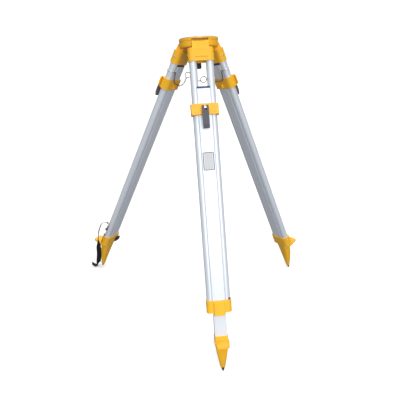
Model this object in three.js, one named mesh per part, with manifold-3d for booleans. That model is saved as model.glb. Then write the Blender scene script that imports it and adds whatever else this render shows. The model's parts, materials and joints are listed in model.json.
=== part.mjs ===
// Light aluminium surveying tripod: a round head, three telescopic legs with cam clamps,
// a captive fixing screw, a spreader chain and a carrying strap. Millimetres, +Z up.
import * as THREE from 'three';
import { mergeVertices } from 'three/addons/utils/BufferGeometryUtils.js';
import Module from 'manifold-3d';

const wasm = await Module();
wasm.setup();

// ---- driving dimensions -------------------------------------------------------------------
const GAP = 0.3; // between pieces that touch
const RUN = 0.6; // between pieces that slide on each other
const RAD = Math.PI / 180;
const { smoothstep } = THREE.MathUtils;

// stance: the head leans back because the front leg is pulled out further
const HEAD_TILT_X = -16.8; // degrees
const HEAD_TILT_Y = -2.6;
const PIVOT_HEIGHT = 981; // middle of the three leg pivots above the floor
const LEGS = [
  { name: 'front', azimuth: -90, extension: 82 },
  { name: 'right', azimuth: 30, extension: 0 },
  { name: 'left', azimuth: 150, extension: 0 },
];

// head
const HEAD_R = 68;
const HEAD_TOP = 24; // from the plane of the leg pivots
const HEAD_BOTTOM = -6.3;
const HEAD_GROOVE = 13;
const OPENING_R = 27; // opening that the fixing screw moves in
const PIVOT_R = 56.5; // leg pivots, from the head's axis
const SLOT_W = 57;
const SLOT_ROOF = 18.5;
const PIN_R = 3;
const PIN_HALF = 33;

// leg head block: a T with a neck in the head's slot and a socket for each rail
const NECK_R = 13;
const NECK_DROP = 10; // straight part of the neck, which stands in the slot when the leg folds in
const SHOULDER_TOP = 14.3; // distances down the leg, from its pivot
const SHOULDER_BOTTOM = 57.5;
const BLOCK_W = 87.5;
const BLOCK_T = 33.2;
const BLOCK_CORNER = 15;

// rails
const RAIL_R = 13;
const RAIL_WALL = 1.8;
const RAIL_X = 28.2; // from the leg's centre line to a rail's axis
const RAIL_TOP = 38;
const SOCKET_DEPTH = 26; // of a rail in the collar

// collar at the bottom of the rails
const COLLAR_TOP = 867;
const COLLAR_H = 43;
const COLLAR_W = 87.5;
const COLLAR_T = 37;
const BOSS_W = 37;
const BOSS_OUT = 24.5;
const BOSS_DROP = 8;

// inner bar, a hollow extrusion whose edges cup the rails
const BAR_TOP = 66;
const BAR_W = 43.5;
const BAR_T = 30;
const BAR_BORE_W = 24;
const BAR_BORE_T = 26;
const CAP_H = 6.5;

// cam clamp, fixed on the inner bar and sliding on the rails
const CLAMP_TOP = 116;
const CLAMP_H = 38;
const CLAMP_W = 95.5;
const CLAMP_T = 36;
const PLATE_T = 4.5;
const PLATE_W = 92;
const CAM_R = 8;
const CAM_OFFSET = 15.5; // lever pin below the clamp's top edge
const LEVER_W = 21;
const LEVER_L = 68.5;
const LEVER_PIN_R = 2.5;

// shoe and spike
const SHOE_TOP = 911;
const SLEEVE_W = 48;
const SLEEVE_T = 35;
const SLEEVE_H = 18;
const STEP_W = 51;
const STEP_OUT = 60;
const STEP_H = 8;
const TREAD_H = 1; // raised face that the surveyor's boot pushes on
const TREAD_EDGE = 2.5;
const CONE_BOTTOM = 1035;
const CONE_R = 8.5;
const TIP_DISTANCE = 1050; // pivot to ground point of a leg that is pushed in
const TIP_INSET = 15.9; // ground point, inwards of the plane of the rails
const TIP_BALL = 2;

// fixing screw on its swing arm under the head
const ARM_PIVOT = 50; // behind the head's axis
const SCREW_X = -10; // the arm is swung a little to one side
const SCREW_R = 7.9;
const STEM_R = 4.2;
const LIFT = 12; // travel of the screw up through the head
const ARM_W = 26;
const ARM_T = 3;
const ARM_LENGTH = 77;
const ARM_SLOT_W = 13;
const ARM_SLOT_START = 36; // from the arm's pivot
const KNOB_R = 15;
const KNOB_TOP = -46;
const KNOB_BOTTOM = -76;

// spreader chain and strap
const WIRE_R = 1.2;
const CLIP_DROP = 88; // spring clips on the rails, down the leg
const RING_LEFT = { x: -45, z: -94, radius: 9.5 };
const RING_RIGHT = { x: 10.3, z: -112.4, radius: 10.5 };
const STRAP_W = 20;
const STRAP_T = 1.8;
const STRAP_BUTTON_DROP = 834;
const STRAP_TURN = 80 * RAD;
const STRAP_LEAN = 0.69; // fall of the webbing across its loop, for each unit along Y
const STRAP_SIDE = 35 * RAD; // where the strap meets its rail, round from the front

// the strap's middle line, from its button on the left leg to its free end; the head's
// axis stands over (0, 0) and the floor is z = 0
const STRAP_ROUTE = [
  [-404.3, -4.8, 215.4],
  [-400.2, -4.7, 225.6],
  [-396.2, -4.7, 235.5],
  [-393.9, -4.9, 245],
  [-395.8, -5.3, 250.5],
  [-400.8, -5.6, 253.8],
  [-407.8, -6.1, 254.8],
  [-415.9, -6.7, 252.6],
  [-422.6, -7.5, 246],
  [-429.1, -8.7, 233.5],
  [-436.8, -10.1, 212],
  [-442.8, -13.1, 185],
  [-446.3, -14.6, 161],
  [-448.8, -14.1, 121],
  [-452.8, -7.1, 84],
  [-458.8, -2.1, 50],
  [-464.8, 1.9, 21],
  [-468.8, 3.4, 9.5],
  [-475.3, 3.9, 5.2],
  [-483.8, 3.9, 7.2],
  [-494.3, 3.9, 19],
];

// ---- finishes -----------------------------------------------------------------------------
const FINISH = {
  yellow: [0xf2b422, 0.45, 0.0],
  aluminium: [0xd9e0e8, 0.35, 0.9],
  steel: [0xc2c6cb, 0.3, 1.0],
  darkWire: [0x4a4d52, 0.4, 0.8],
  black: [0x1b1c20, 0.55, 0.0],
  blueCap: [0x2e3a5a, 0.5, 0.0],
  lever: [0x3f4049, 0.5, 0.0],
  webbing: [0x16171a, 0.9, 0.0],
};

// ---- shape helpers ------------------------------------------------------------------------
function solidOf(geometry) {
  const bare = geometry.clone();
  bare.deleteAttribute('normal');
  bare.deleteAttribute('uv');
  const merged = mergeVertices(bare, 1e-4);
  const index = merged.index.array;
  const mesh = { numProp: 3, vertProperties: merged.attributes.position.array };
  mesh.triVerts = new Uint32Array(index);
  return new wasm.Manifold(new wasm.Mesh(mesh));
}

function geometryOf(solid) {
  const mesh = solid.getMesh();
  const geometry = new THREE.BufferGeometry();
  geometry.setAttribute('position', new THREE.BufferAttribute(mesh.vertProperties, 3));
  geometry.setIndex(new THREE.BufferAttribute(mesh.triVerts, 1));
  return geometry;
}

function cut(base, ...tools) {
  return geometryOf(tools.reduce((solid, tool) => solid.subtract(solidOf(tool)), solidOf(base)));
}

function join(base, ...others) {
  return geometryOf(others.reduce((solid, other) => solid.add(solidOf(other)), solidOf(base)));
}

function block(width, depth, height, x, y, z) {
  return new THREE.BoxGeometry(width, depth, height).translate(x, y, z);
}

// A cylinder from z = low to z = high round the point (x, y).
function post(radius, low, high, x = 0, y = 0, sides = 24, topRadius = radius) {
  const cylinder = new THREE.CylinderGeometry(topRadius, radius, high - low, sides);
  return cylinder.rotateX(Math.PI / 2).translate(x, y, (low + high) / 2);
}

// A cylinder along X, centred on (0, y, z).
function crossPin(radius, half, y, z, sides = 20) {
  return new THREE.CylinderGeometry(radius, radius, 2 * half, sides)
    .rotateZ(Math.PI / 2)
    .translate(0, y, z);
}

// A rectangle with round corners, centred on (0, y).
function roundRect(width, depth, radius, y = 0) {
  const shape = new THREE.Shape();
  const w = width / 2;
  const d = depth / 2;
  const corners = [
    [w - radius, d - radius, 0],
    [radius - w, d - radius, 90],
    [radius - w, radius - d, 180],
    [w - radius, radius - d, 270],
  ];
  for (const [cx, cy, start] of corners) {
    shape.absarc(cx, y + cy, radius, start * RAD, (start + 90) * RAD, false);
  }
  shape.closePath();
  return shape;
}

// An outline in X and Y raised from z = low to z = high.
function prism(shape, low, high, curveSegments = 3) {
  const options = { depth: high - low, bevelEnabled: false, curveSegments };
  return new THREE.ExtrudeGeometry(shape, options).translate(0, 0, low);
}

// An outline drawn in Y (across) and Z (up), given thickness along X.
function sidePlate(shape, width, curveSegments = 8) {
  const options = { depth: width, bevelEnabled: false, curveSegments };
  return new THREE.ExtrudeGeometry(shape, options)
    .translate(0, 0, -width / 2)
    .rotateY(Math.PI / 2)
    .rotateX(Math.PI / 2);
}

// A round wire along a smooth curve through the points.
function wire(points, radius, steps, sides = 6) {
  const section = new THREE.Shape().absarc(0, 0, radius, 0, 2 * Math.PI, false);
  const path = new THREE.CatmullRomCurve3(points.map((p) => new THREE.Vector3(...p)));
  const options = { steps, extrudePath: path, bevelEnabled: false, curveSegments: sides };
  return new THREE.ExtrudeGeometry(section, options);
}

// The space of the inner bar, grown by a clearance: a rectangle hollowed by the two rails.
function barSpace(low, high, grow) {
  const outer = block(BAR_W + 2 * grow, BAR_T + 2 * grow, high - low, 0, 0, (low + high) / 2);
  const cup = RAIL_R + RUN - grow;
  return cut(outer, post(cup, low - 1, high + 1, RAIL_X), post(cup, low - 1, high + 1, -RAIL_X));
}

// ---- scene --------------------------------------------------------------------------------
const tripod = new THREE.Group();
const head = new THREE.Group();
tripod.add(head);

function add(parent, name, geometry, finish) {
  const [color, roughness, metalness] = FINISH[finish];
  const material = new THREE.MeshStandardMaterial({ color, roughness, metalness });
  const mesh = new THREE.Mesh(geometry, material);
  mesh.name = name;
  parent.add(mesh);
  return mesh;
}

// ---- stance -------------------------------------------------------------------------------
head.rotation.set(HEAD_TILT_X * RAD, HEAD_TILT_Y * RAD, 0, 'YXZ');
head.position.set(0, 0, PIVOT_HEIGHT);
head.updateMatrix();

// The splay that puts a leg's ground ball on the floor: the ball's height is
// P sin(s) - Q cos(s) plus a constant, so s follows from one arc cosine.
function splayOf(leg) {
  const m = head.matrix.elements;
  const out = m[2] * Math.cos(leg.azimuth * RAD) + m[6] * Math.sin(leg.azimuth * RAD);
  const up = m[10];
  const reach = TIP_DISTANCE - TIP_BALL + leg.extension;
  const p = reach * out - TIP_INSET * up;
  const q = reach * up + TIP_INSET * out;
  const k = TIP_BALL - PIVOT_HEIGHT - PIVOT_R * out;
  return Math.acos(-k / Math.hypot(p, q)) - Math.atan2(p, q);
}

// ---- head ---------------------------------------------------------------------------------
function headPlate() {
  const outline = [
    [OPENING_R, HEAD_BOTTOM],
    [HEAD_R - 4, HEAD_BOTTOM],
    [HEAD_R - 1.6, HEAD_BOTTOM + 3],
    [HEAD_R - 1.2, HEAD_GROOVE - 1],
    [HEAD_R - 2.4, HEAD_GROOVE],
    [HEAD_R - 0.4, HEAD_GROOVE + 1],
    [HEAD_R, HEAD_TOP - 2],
    [HEAD_R - 1.6, HEAD_TOP],
    [OPENING_R + 1.5, HEAD_TOP],
    [OPENING_R, HEAD_TOP - 1.5],
    [OPENING_R, HEAD_BOTTOM],
  ];
  const ring = new THREE.LatheGeometry(outline.map(([r, z]) => new THREE.Vector2(r, z)), 40);
  ring.rotateX(Math.PI / 2);
  const innerEdge = PIVOT_R - NECK_R - 1;
  const slotDepth = HEAD_R + 5 - innerEdge;
  const slotY = -innerEdge - slotDepth / 2;
  const slotH = SLOT_ROOF - HEAD_BOTTOM + 5;
  const tools = [post(PIN_R + GAP, HEAD_BOTTOM - 1, 6, 0, ARM_PIVOT, 16)];
  for (const leg of LEGS) {
    const turn = (leg.azimuth + 90) * RAD;
    const slot = block(SLOT_W, slotDepth, slotH, 0, slotY, SLOT_ROOF - slotH / 2);
    tools.push(slot.rotateZ(turn));
    tools.push(crossPin(PIN_R + GAP, PIN_HALF + GAP, -PIVOT_R, 0).rotateZ(turn));
  }
  return cut(ring, ...tools);
}

function screwArm() {
  const far = ARM_W / 2 - ARM_LENGTH;
  const low = HEAD_BOTTOM - GAP - ARM_T;
  const shape = new THREE.Shape();
  shape.absarc(0, 0, ARM_W / 2, 0, Math.PI, false);
  shape.absarc(0, far, ARM_W / 2, Math.PI, 2 * Math.PI, false);
  shape.closePath();
  const slot = new THREE.Path();
  slot.absarc(0, -ARM_SLOT_START, ARM_SLOT_W / 2, 0, Math.PI, false);
  slot.absarc(0, far, ARM_SLOT_W / 2, Math.PI, 2 * Math.PI, false);
  slot.closePath();
  shape.holes.push(slot);
  const plate = prism(shape, low, low + ARM_T, 8);
  return cut(plate, post(PIN_R + GAP, low - 1, low + ARM_T + 1, 0, 0, 16));
}

add(head, 'head_plate', headPlate(), 'yellow');

const arm = new THREE.Group();
arm.position.set(0, ARM_PIVOT, 0);
arm.rotation.z = Math.atan2(SCREW_X, ARM_PIVOT);
head.add(arm);
add(arm, 'screw_arm', screwArm(), 'steel');

function armBolt() {
  const armBottom = HEAD_BOTTOM - GAP - ARM_T;
  const shank = post(PIN_R, armBottom - GAP - 1, 5.5, 0, 0, 16);
  return join(shank, post(6, armBottom - GAP - 4, armBottom - GAP, 0, 0, 6));
}
add(arm, 'arm_pivot_bolt', armBolt(), 'steel');

const screw = new THREE.Group();
screw.position.set(0, -Math.hypot(SCREW_X, ARM_PIVOT), 0);
arm.add(screw);

const ARM_TOP = HEAD_BOTTOM - GAP;
const ARM_UNDER = ARM_TOP - ARM_T;
const FLANGE_T = 3;
const BUSH_TOP = ARM_TOP + 1.5;

function screwBush() {
  const guide = post(ARM_SLOT_W / 2 - RUN, ARM_UNDER - 1, BUSH_TOP, 0, 0, 24);
  const flange = post(12, ARM_UNDER - GAP - FLANGE_T, ARM_UNDER - GAP, 0, 0, 24);
  return cut(join(guide, flange), post(STEM_R + GAP, ARM_UNDER - 8, BUSH_TOP + 1, 0, 0, 20));
}
add(screw, 'screw_bush', screwBush(), 'steel');

const WASHER_TOP = ARM_UNDER - GAP - FLANGE_T - LIFT - GAP;
const WASHER_T = 2;

function screwWasher() {
  const washer = post(10.5, WASHER_TOP - WASHER_T, WASHER_TOP, 0, 0, 24);
  return cut(washer, post(STEM_R + GAP, WASHER_TOP - 5, WASHER_TOP + 1, 0, 0, 20));
}
add(screw, 'screw_washer', screwWasher(), 'steel');

function fixingScrew() {
  const stem = post(STEM_R, KNOB_TOP - 14, BUSH_TOP + 3, 0, 0, 20);
  const thread = post(SCREW_R, BUSH_TOP + GAP, HEAD_TOP - 3, 0, 0, 24);
  const point = post(SCREW_R, HEAD_TOP - 3, HEAD_TOP - 0.5, 0, 0, 24, SCREW_R - 2);
  const shoulder = post(8, KNOB_TOP + GAP, WASHER_TOP - WASHER_T - GAP, 0, 0, 24);
  return join(stem, thread, point, shoulder);
}
add(screw, 'fixing_screw', fixingScrew(), 'steel');

function screwKnob() {
  const flutes = [];
  const fluteAt = KNOB_R + 1.4;
  for (let i = 0; i < 8; i += 1) {
    const a = (i * 45 + 22.5) * RAD;
    const x = fluteAt * Math.cos(a);
    const y = fluteAt * Math.sin(a);
    flutes.push(post(3, KNOB_BOTTOM - 1, KNOB_TOP + 1, x, y, 10));
  }
  const body = post(KNOB_R, KNOB_BOTTOM, KNOB_TOP - 4, 0, 0, 32);
  const neck = post(KNOB_R, KNOB_TOP - 4, KNOB_TOP, 0, 0, 32, KNOB_R - 5);
  const bore = post(STEM_R + GAP, KNOB_TOP - 14 - GAP, KNOB_TOP + 1, 0, 0, 20);
  return cut(join(body, neck), ...flutes, bore);
}
add(screw, 'screw_knob', screwKnob(), 'black');

// ---- legs ---------------------------------------------------------------------------------
// Each leg is drawn hanging from its pivot: X across, Y inwards, Z up along the leg.
function legBlock() {
  const t = BLOCK_T / 2;
  const side = new THREE.Shape();
  side.absarc(0, 0, NECK_R, 0, Math.PI, false);
  side.lineTo(-NECK_R, -NECK_DROP);
  side.lineTo(-t, -SHOULDER_TOP);
  side.lineTo(t, -SHOULDER_TOP);
  side.lineTo(NECK_R, -NECK_DROP);
  side.closePath();
  const neck = sidePlate(side, SLOT_W - 2 * RUN, 8);
  const shoulder = prism(roundRect(BLOCK_W, BLOCK_T, BLOCK_CORNER), -SHOULDER_BOTTOM, -SHOULDER_TOP, 5);
  const pad = block(40, 4, 12, 0, -t - 0.2, -SHOULDER_BOTTOM + 8);
  const socketTop = -RAIL_TOP + GAP;
  const sockets = [-1, 1].map((k) => post(RAIL_R + GAP, -SHOULDER_BOTTOM - 1, socketTop, k * RAIL_X));
  const recess = block(22, BLOCK_T - 8, 14, 0, 0, -SHOULDER_BOTTOM + 5);
  const eye = crossPin(PIN_R + GAP, SLOT_W, 0, 0);
  return cut(join(shoulder, neck, pad), ...sockets, recess, eye);
}

function rail(sideSign) {
  const shape = new THREE.Shape().absarc(0, 0, RAIL_R, 0, 2 * Math.PI, false);
  const bore = new THREE.Path().absarc(0, 0, RAIL_R - RAIL_WALL, 0, 2 * Math.PI, true);
  shape.holes.push(bore);
  const low = -(COLLAR_TOP + SOCKET_DEPTH - GAP);
  return prism(shape, low, -RAIL_TOP, 18).translate(sideSign * RAIL_X, 0, 0);
}

function collar() {
  const top = -COLLAR_TOP;
  const low = top - COLLAR_H;
  const body = prism(roundRect(COLLAR_W, COLLAR_T, 12), low, top, 5);
  const skin = SLEEVE_T / 2 + RUN;
  const bossH = COLLAR_H - 4 + BOSS_DROP;
  const bossZ = low - BOSS_DROP + bossH / 2;
  const boss = block(BOSS_W, BOSS_OUT - skin, bossH, 0, -(BOSS_OUT + skin) / 2, bossZ);
  const sockets = [-1, 1].map((k) => post(RAIL_R + GAP, top - SOCKET_DEPTH, top + 1, k * RAIL_X));
  return cut(join(body, boss), ...sockets, barSpace(low - BOSS_DROP - 1, top + 1, RUN));
}

function innerBar() {
  const low = -(SHOE_TOP + SLEEVE_H - 4);
  const bore = block(BAR_BORE_W, BAR_BORE_T, 2 * TIP_DISTANCE, 0, 0, 0);
  return cut(barSpace(low, -BAR_TOP, 0), bore);
}

function barCap() {
  const low = -BAR_TOP + GAP;
  const shape = barSpace(low, low + CAP_H, -0.2);
  const plug = block(BAR_BORE_W - 0.8, BAR_BORE_T - 0.8, 12, 0, 0, low - 5.5);
  return join(shape, plug);
}

function clampBody() {
  const low = -CLAMP_TOP - CLAMP_H;
  const outer = prism(roundRect(CLAMP_W, CLAMP_T, 12), low, -CLAMP_TOP, 5);
  const rails = [-1, 1].map((k) => post(RAIL_R + RUN, low - 1, -CLAMP_TOP + 1, k * RAIL_X));
  const lug = block(16, 8, 14, 0, CLAMP_T / 2 + 3, low + 12);
  const boltHole = post(3 + GAP, -5, 5, 0, 0, 16).rotateX(Math.PI / 2);
  boltHole.translate(0, -CLAMP_T / 2, -CLAMP_TOP - CAM_OFFSET);
  return cut(join(outer, lug), ...rails, barSpace(low - 1, -CLAMP_TOP + 1, GAP), boltHole);
}

const PLATE_FRONT = -CLAMP_T / 2 - GAP - PLATE_T;
const CAM_Y = PLATE_FRONT - GAP - CAM_R;

function clampPlate() {
  const front = roundRect(PLATE_W, CLAMP_H - 2, 6);
  const plate = prism(front, -PLATE_T / 2, PLATE_T / 2, 4).rotateX(Math.PI / 2);
  plate.translate(0, PLATE_FRONT + PLATE_T / 2, -CLAMP_TOP - CLAMP_H / 2);
  const hole = post(3 + GAP, -8, 8, 0, 0, 16).rotateX(Math.PI / 2);
  hole.translate(0, PLATE_FRONT, -CLAMP_TOP - CAM_OFFSET);
  return cut(plate, hole);
}

function leverHandle() {
  const grip = new THREE.Shape();
  grip.moveTo(-CAM_R, 0);
  grip.absarc(0, 0, CAM_R, Math.PI, 0, true);
  grip.lineTo(CAM_R, -3);
  grip.quadraticCurveTo(2, -12, 1, -24);
  grip.lineTo(2, -LEVER_L + 3);
  grip.quadraticCurveTo(0, -LEVER_L, -4, -LEVER_L);
  grip.quadraticCurveTo(-10, -LEVER_L + 10, -9, -24);
  grip.closePath();
  const body = sidePlate(grip, LEVER_W, 6);
  const fork = block(9, 30, 27, 0, 0, 3);
  const eye = crossPin(LEVER_PIN_R + GAP, LEVER_W, 0, 0, 16);
  return cut(body, fork, eye);
}

function tensionBolt() {
  const eyeR = 4.6;
  const z = -CLAMP_TOP - CAM_OFFSET;
  const shank = post(3, CLAMP_T / 2 - 2.2, -CAM_Y, 0, 0, 16).rotateX(Math.PI / 2);
  shank.translate(0, 0, z);
  const eye = crossPin(6, eyeR - 0.8, CAM_Y, z, 20);
  return cut(join(shank, eye), crossPin(LEVER_PIN_R + GAP, 10, CAM_Y, z, 16));
}

// A closed skin through rings of points, with a fan over each end.
function loft(rings) {
  const count = rings[0].length;
  const positions = rings.flat().flatMap((p) => [p.x, p.y, p.z]);
  const index = [];
  for (let r = 0; r + 1 < rings.length; r += 1) {
    for (let i = 0; i < count; i += 1) {
      const a = r * count + i;
      const b = r * count + ((i + 1) % count);
      index.push(a, b, b + count, a, b + count, a + count);
    }
  }
  const last = (rings.length - 1) * count;
  for (let i = 1; i + 1 < count; i += 1) {
    index.push(0, i + 1, i, last, last + i, last + i + 1);
  }
  const geometry = new THREE.BufferGeometry();
  geometry.setAttribute('position', new THREE.Float32BufferAttribute(positions, 3));
  geometry.setIndex(index);
  return geometry;
}

// A superellipse ring: boxy where power is high, round at 2.
function ring(halfX, halfY, centreY, z, power, count = 20) {
  return Array.from({ length: count }, (_, i) => {
    const a = (2 * Math.PI * i) / count;
    const c = Math.cos(a);
    const s = Math.sin(a);
    const x = Math.sign(c) * Math.abs(c) ** (2 / power) * halfX;
    const y = Math.sign(s) * Math.abs(s) ** (2 / power) * halfY;
    return new THREE.Vector3(x, y + centreY, z);
  });
}

function shoe() {
  const w = SLEEVE_W / 2;
  const t = SLEEVE_T / 2;
  const z0 = -SHOE_TOP;
  const stepTop = z0 - SLEEVE_H;
  const coneTop = stepTop - STEP_H;
  const body = loft([
    ring(CONE_R, CONE_R - 2, TIP_INSET, -CONE_BOTTOM, 2),
    ring(14.5, 13, TIP_INSET * 0.5, -CONE_BOTTOM + 33, 2.6),
    ring(w - 3.5, t - 1, TIP_INSET * 0.13, coneTop - 29, 3.6),
    ring(w - 0.5, t - 0.5, 0, coneTop, 5),
    ring(w, t, 0, z0, 6),
  ]);
  const tread = new THREE.Shape();
  const s = STEP_W / 2;
  tread.moveTo(-s, 0);
  tread.lineTo(s, 0);
  tread.lineTo(s, -t - 8);
  tread.lineTo(s - 3.5, -STEP_OUT + 5);
  tread.quadraticCurveTo(s - 4, -STEP_OUT, s - 9, -STEP_OUT);
  tread.lineTo(9 - s, -STEP_OUT);
  tread.quadraticCurveTo(4 - s, -STEP_OUT, 3.5 - s, -STEP_OUT + 5);
  tread.lineTo(-s, -t - 8);
  tread.closePath();
  const step = prism(tread, coneTop, stepTop, 4);
  const padDepth = STEP_OUT - t - 2 * TREAD_EDGE;
  const padOutline = roundRect(STEP_W - 12, padDepth, 4, -t - TREAD_EDGE - padDepth / 2);
  const pad = prism(padOutline, stepTop - 1, stepTop + TREAD_H, 4);
  const gusset = new THREE.Shape();
  gusset.moveTo(0, coneTop + 1);
  gusset.lineTo(-STEP_OUT + 28, coneTop + 1);
  gusset.lineTo(0, coneTop - 24);
  gusset.closePath();
  const web = sidePlate(gusset, 8);
  const socket = barSpace(z0 - SLEEVE_H + 3, z0 + 1, GAP);
  const bore = post(4 + GAP, -CONE_BOTTOM - 1, -CONE_BOTTOM + 15, 0, TIP_INSET, 16);
  return cut(join(body, step, pad, web), socket, bore);
}

function spike() {
  const base = -CONE_BOTTOM - GAP;
  const reach = -(TIP_DISTANCE - TIP_BALL);
  const ball = [60, 30, 10].map((a) => {
    const drop = TIP_BALL * Math.sin(a * RAD);
    return [TIP_BALL * Math.cos(a * RAD), reach - drop];
  });
  const rim = CONE_R - 2.5;
  const plug = [[rim, base - 3], [rim, base], [4, base], [4, base + 14], [0, base + 14]];
  const outline = [[0, reach - TIP_BALL], ...ball, ...plug];
  const points = outline.map(([r, z]) => new THREE.Vector2(r, z));
  return new THREE.LatheGeometry(points, 20).rotateX(Math.PI / 2).translate(0, TIP_INSET, 0);
}

const uppers = {};
for (const leg of LEGS) {
  const turn = new THREE.Group();
  turn.rotation.z = (leg.azimuth + 90) * RAD;
  head.add(turn);
  const upper = new THREE.Group();
  upper.position.set(0, -PIVOT_R, 0);
  upper.rotation.x = -splayOf(leg);
  turn.add(upper);
  const lower = new THREE.Group();
  lower.position.z = -leg.extension;
  upper.add(lower);
  uppers[leg.name] = upper;

  const n = leg.name;
  add(turn, `hinge_pin_${n}`, crossPin(PIN_R, PIN_HALF, -PIVOT_R, 0), 'steel');
  add(upper, `leg_block_${n}`, legBlock(), 'yellow');
  add(upper, `rail_a_${n}`, rail(-1), 'aluminium');
  add(upper, `rail_b_${n}`, rail(1), 'aluminium');
  add(upper, `collar_${n}`, collar(), 'yellow');
  add(lower, `inner_bar_${n}`, innerBar(), 'aluminium');
  add(lower, `bar_cap_${n}`, barCap(), 'blueCap');
  add(lower, `clamp_body_${n}`, clampBody(), 'yellow');
  add(lower, `clamp_plate_${n}`, clampPlate(), 'yellow');
  add(lower, `tension_bolt_${n}`, tensionBolt(), 'steel');
  const leverPin = crossPin(LEVER_PIN_R, LEVER_W / 2 - 0.5, CAM_Y, -CLAMP_TOP - CAM_OFFSET, 16);
  add(lower, `lever_pin_${n}`, leverPin, 'steel');
  const lever = add(lower, `clamp_lever_${n}`, leverHandle(), 'lever');
  lever.position.set(0, CAM_Y, -CLAMP_TOP - CAM_OFFSET);
  add(lower, `shoe_${n}`, shoe(), 'yellow');
  add(lower, `spike_${n}`, spike(), 'black');
}

tripod.updateMatrixWorld(true);

// ---- spreader chain -----------------------------------------------------------------------
// A spring clip bent round the outside of a rail, open towards the inner bar.
function railClip(sideSign) {
  const radius = RAIL_R + GAP + WIRE_R;
  const points = [];
  for (let a = -95; a <= 95; a += 19) {
    const x = sideSign * (RAIL_X + radius * Math.cos(a * RAD));
    points.push([x, radius * Math.sin(a * RAD), -CLIP_DROP]);
  }
  return wire(points, WIRE_R, 14);
}

// A place given in a leg's own frame, told in the head's frame.
function inHead(leg, x, y, z) {
  const point = uppers[leg].localToWorld(new THREE.Vector3(x, y, z));
  return head.worldToLocal(point).toArray();
}

function chainRing({ x, z, radius }) {
  return new THREE.TorusGeometry(radius, WIRE_R, 6, 20).rotateX(Math.PI / 2).translate(x, 0, z);
}

const chainLeft = [
  inHead('left', 26.9, 17.4, -CLIP_DROP),
  inHead('left', 22.5, 24, -118),
  [-70, 6, -128],
  [-58, 3, -117],
  [-51.2, 0, -105],
];
const chainMiddle = [
  [-34.4, 0, -101.2],
  [-24, -1, -109.5],
  [-12, -1, -115.5],
  [-3.4, 0, -116],
];
const chainRight = [
  [24, 0, -113],
  [36, 4, -119],
  [50, 9, -121],
  inHead('right', -22.5, 24, -118),
  inHead('right', -26.9, 17.4, -CLIP_DROP),
];
add(uppers.left, 'rail_clip_left', railClip(1), 'steel');
add(uppers.right, 'rail_clip_right', railClip(-1), 'steel');
add(head, 'chain_ring_left', chainRing(RING_LEFT), 'darkWire');
add(head, 'chain_ring_right', chainRing(RING_RIGHT), 'darkWire');
add(head, 'spreader_chain_left', wire(chainLeft, WIRE_R, 20), 'darkWire');
add(head, 'spreader_chain_middle', wire(chainMiddle, WIRE_R, 10), 'darkWire');
add(head, 'spreader_chain_right', wire(chainRight, WIRE_R, 20), 'darkWire');

// ---- carrying strap -----------------------------------------------------------------------
// The webbing lies across Y by its button, turns its flat to the front as it hangs, and
// turns back in the fold at its end.
function strap() {
  const path = new THREE.CatmullRomCurve3(STRAP_ROUTE.map((p) => new THREE.Vector3(...p)));
  const steps = 44;
  const rings = [];
  for (let i = 0; i <= steps; i += 1) {
    const u = i / steps;
    const turned = smoothstep(u, 0.42, 0.6) - smoothstep(u, 0.82, 0.92);
    const turn = STRAP_TURN * turned;
    const along = path.getTangentAt(u);
    const lean = STRAP_LEAN * (smoothstep(u, 0.04, 0.14) - smoothstep(u, 0.3, 0.42));
    const across = new THREE.Vector3(Math.sin(turn), Math.cos(turn), -lean);
    across.addScaledVector(along, -across.dot(along)).normalize();
    const through = along.clone().cross(across);
    const centre = path.getPointAt(u);
    const corner = (w, t) => centre.clone().addScaledVector(across, w * STRAP_W / 2)
      .addScaledVector(through, t * STRAP_T / 2);
    rings.push([corner(-1, -1), corner(1, -1), corner(1, 1), corner(-1, 1)]);
  }
  return loft(rings);
}
add(tripod, 'carrying_strap', strap(), 'webbing');

function strapButton() {
  const under = RAIL_R + 2 * GAP + STRAP_T + 0.4;
  const stem = post(5.5, under, under + 2, 0, 0, 20);
  const dome = post(5.5, under + 2, under + 4, 0, 0, 20, 3.5);
  const button = join(stem, dome).rotateX(Math.PI / 2).rotateZ(STRAP_SIDE);
  return button.translate(RAIL_X, 0, -STRAP_BUTTON_DROP);
}
add(uppers.left, 'strap_button', strapButton(), 'blueCap');

function strapBuckle() {
  const frame = prism(roundRect(30, 22, 4), -3, 3, 4).rotateX(Math.PI / 2);
  return frame.translate(-27, COLLAR_T / 2 + GAP + 3, -COLLAR_TOP - 24);
}
add(uppers.left, 'strap_buckle', strapBuckle(), 'black');

// the origin is the middle of the footprint, on the floor
const box = new THREE.Box3().setFromObject(tripod, true);
tripod.position.set(-(box.min.x + box.max.x) / 2, -(box.min.y + box.max.y) / 2, -box.min.z);

export default tripod;
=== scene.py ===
"""A light aluminium surveying tripod, finished round its packed frame."""
import json
import math

import bmesh
import bpy
import numpy as np
from bpy.props import FloatProperty, FloatVectorProperty, PointerProperty
from mathutils import Matrix

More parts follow.
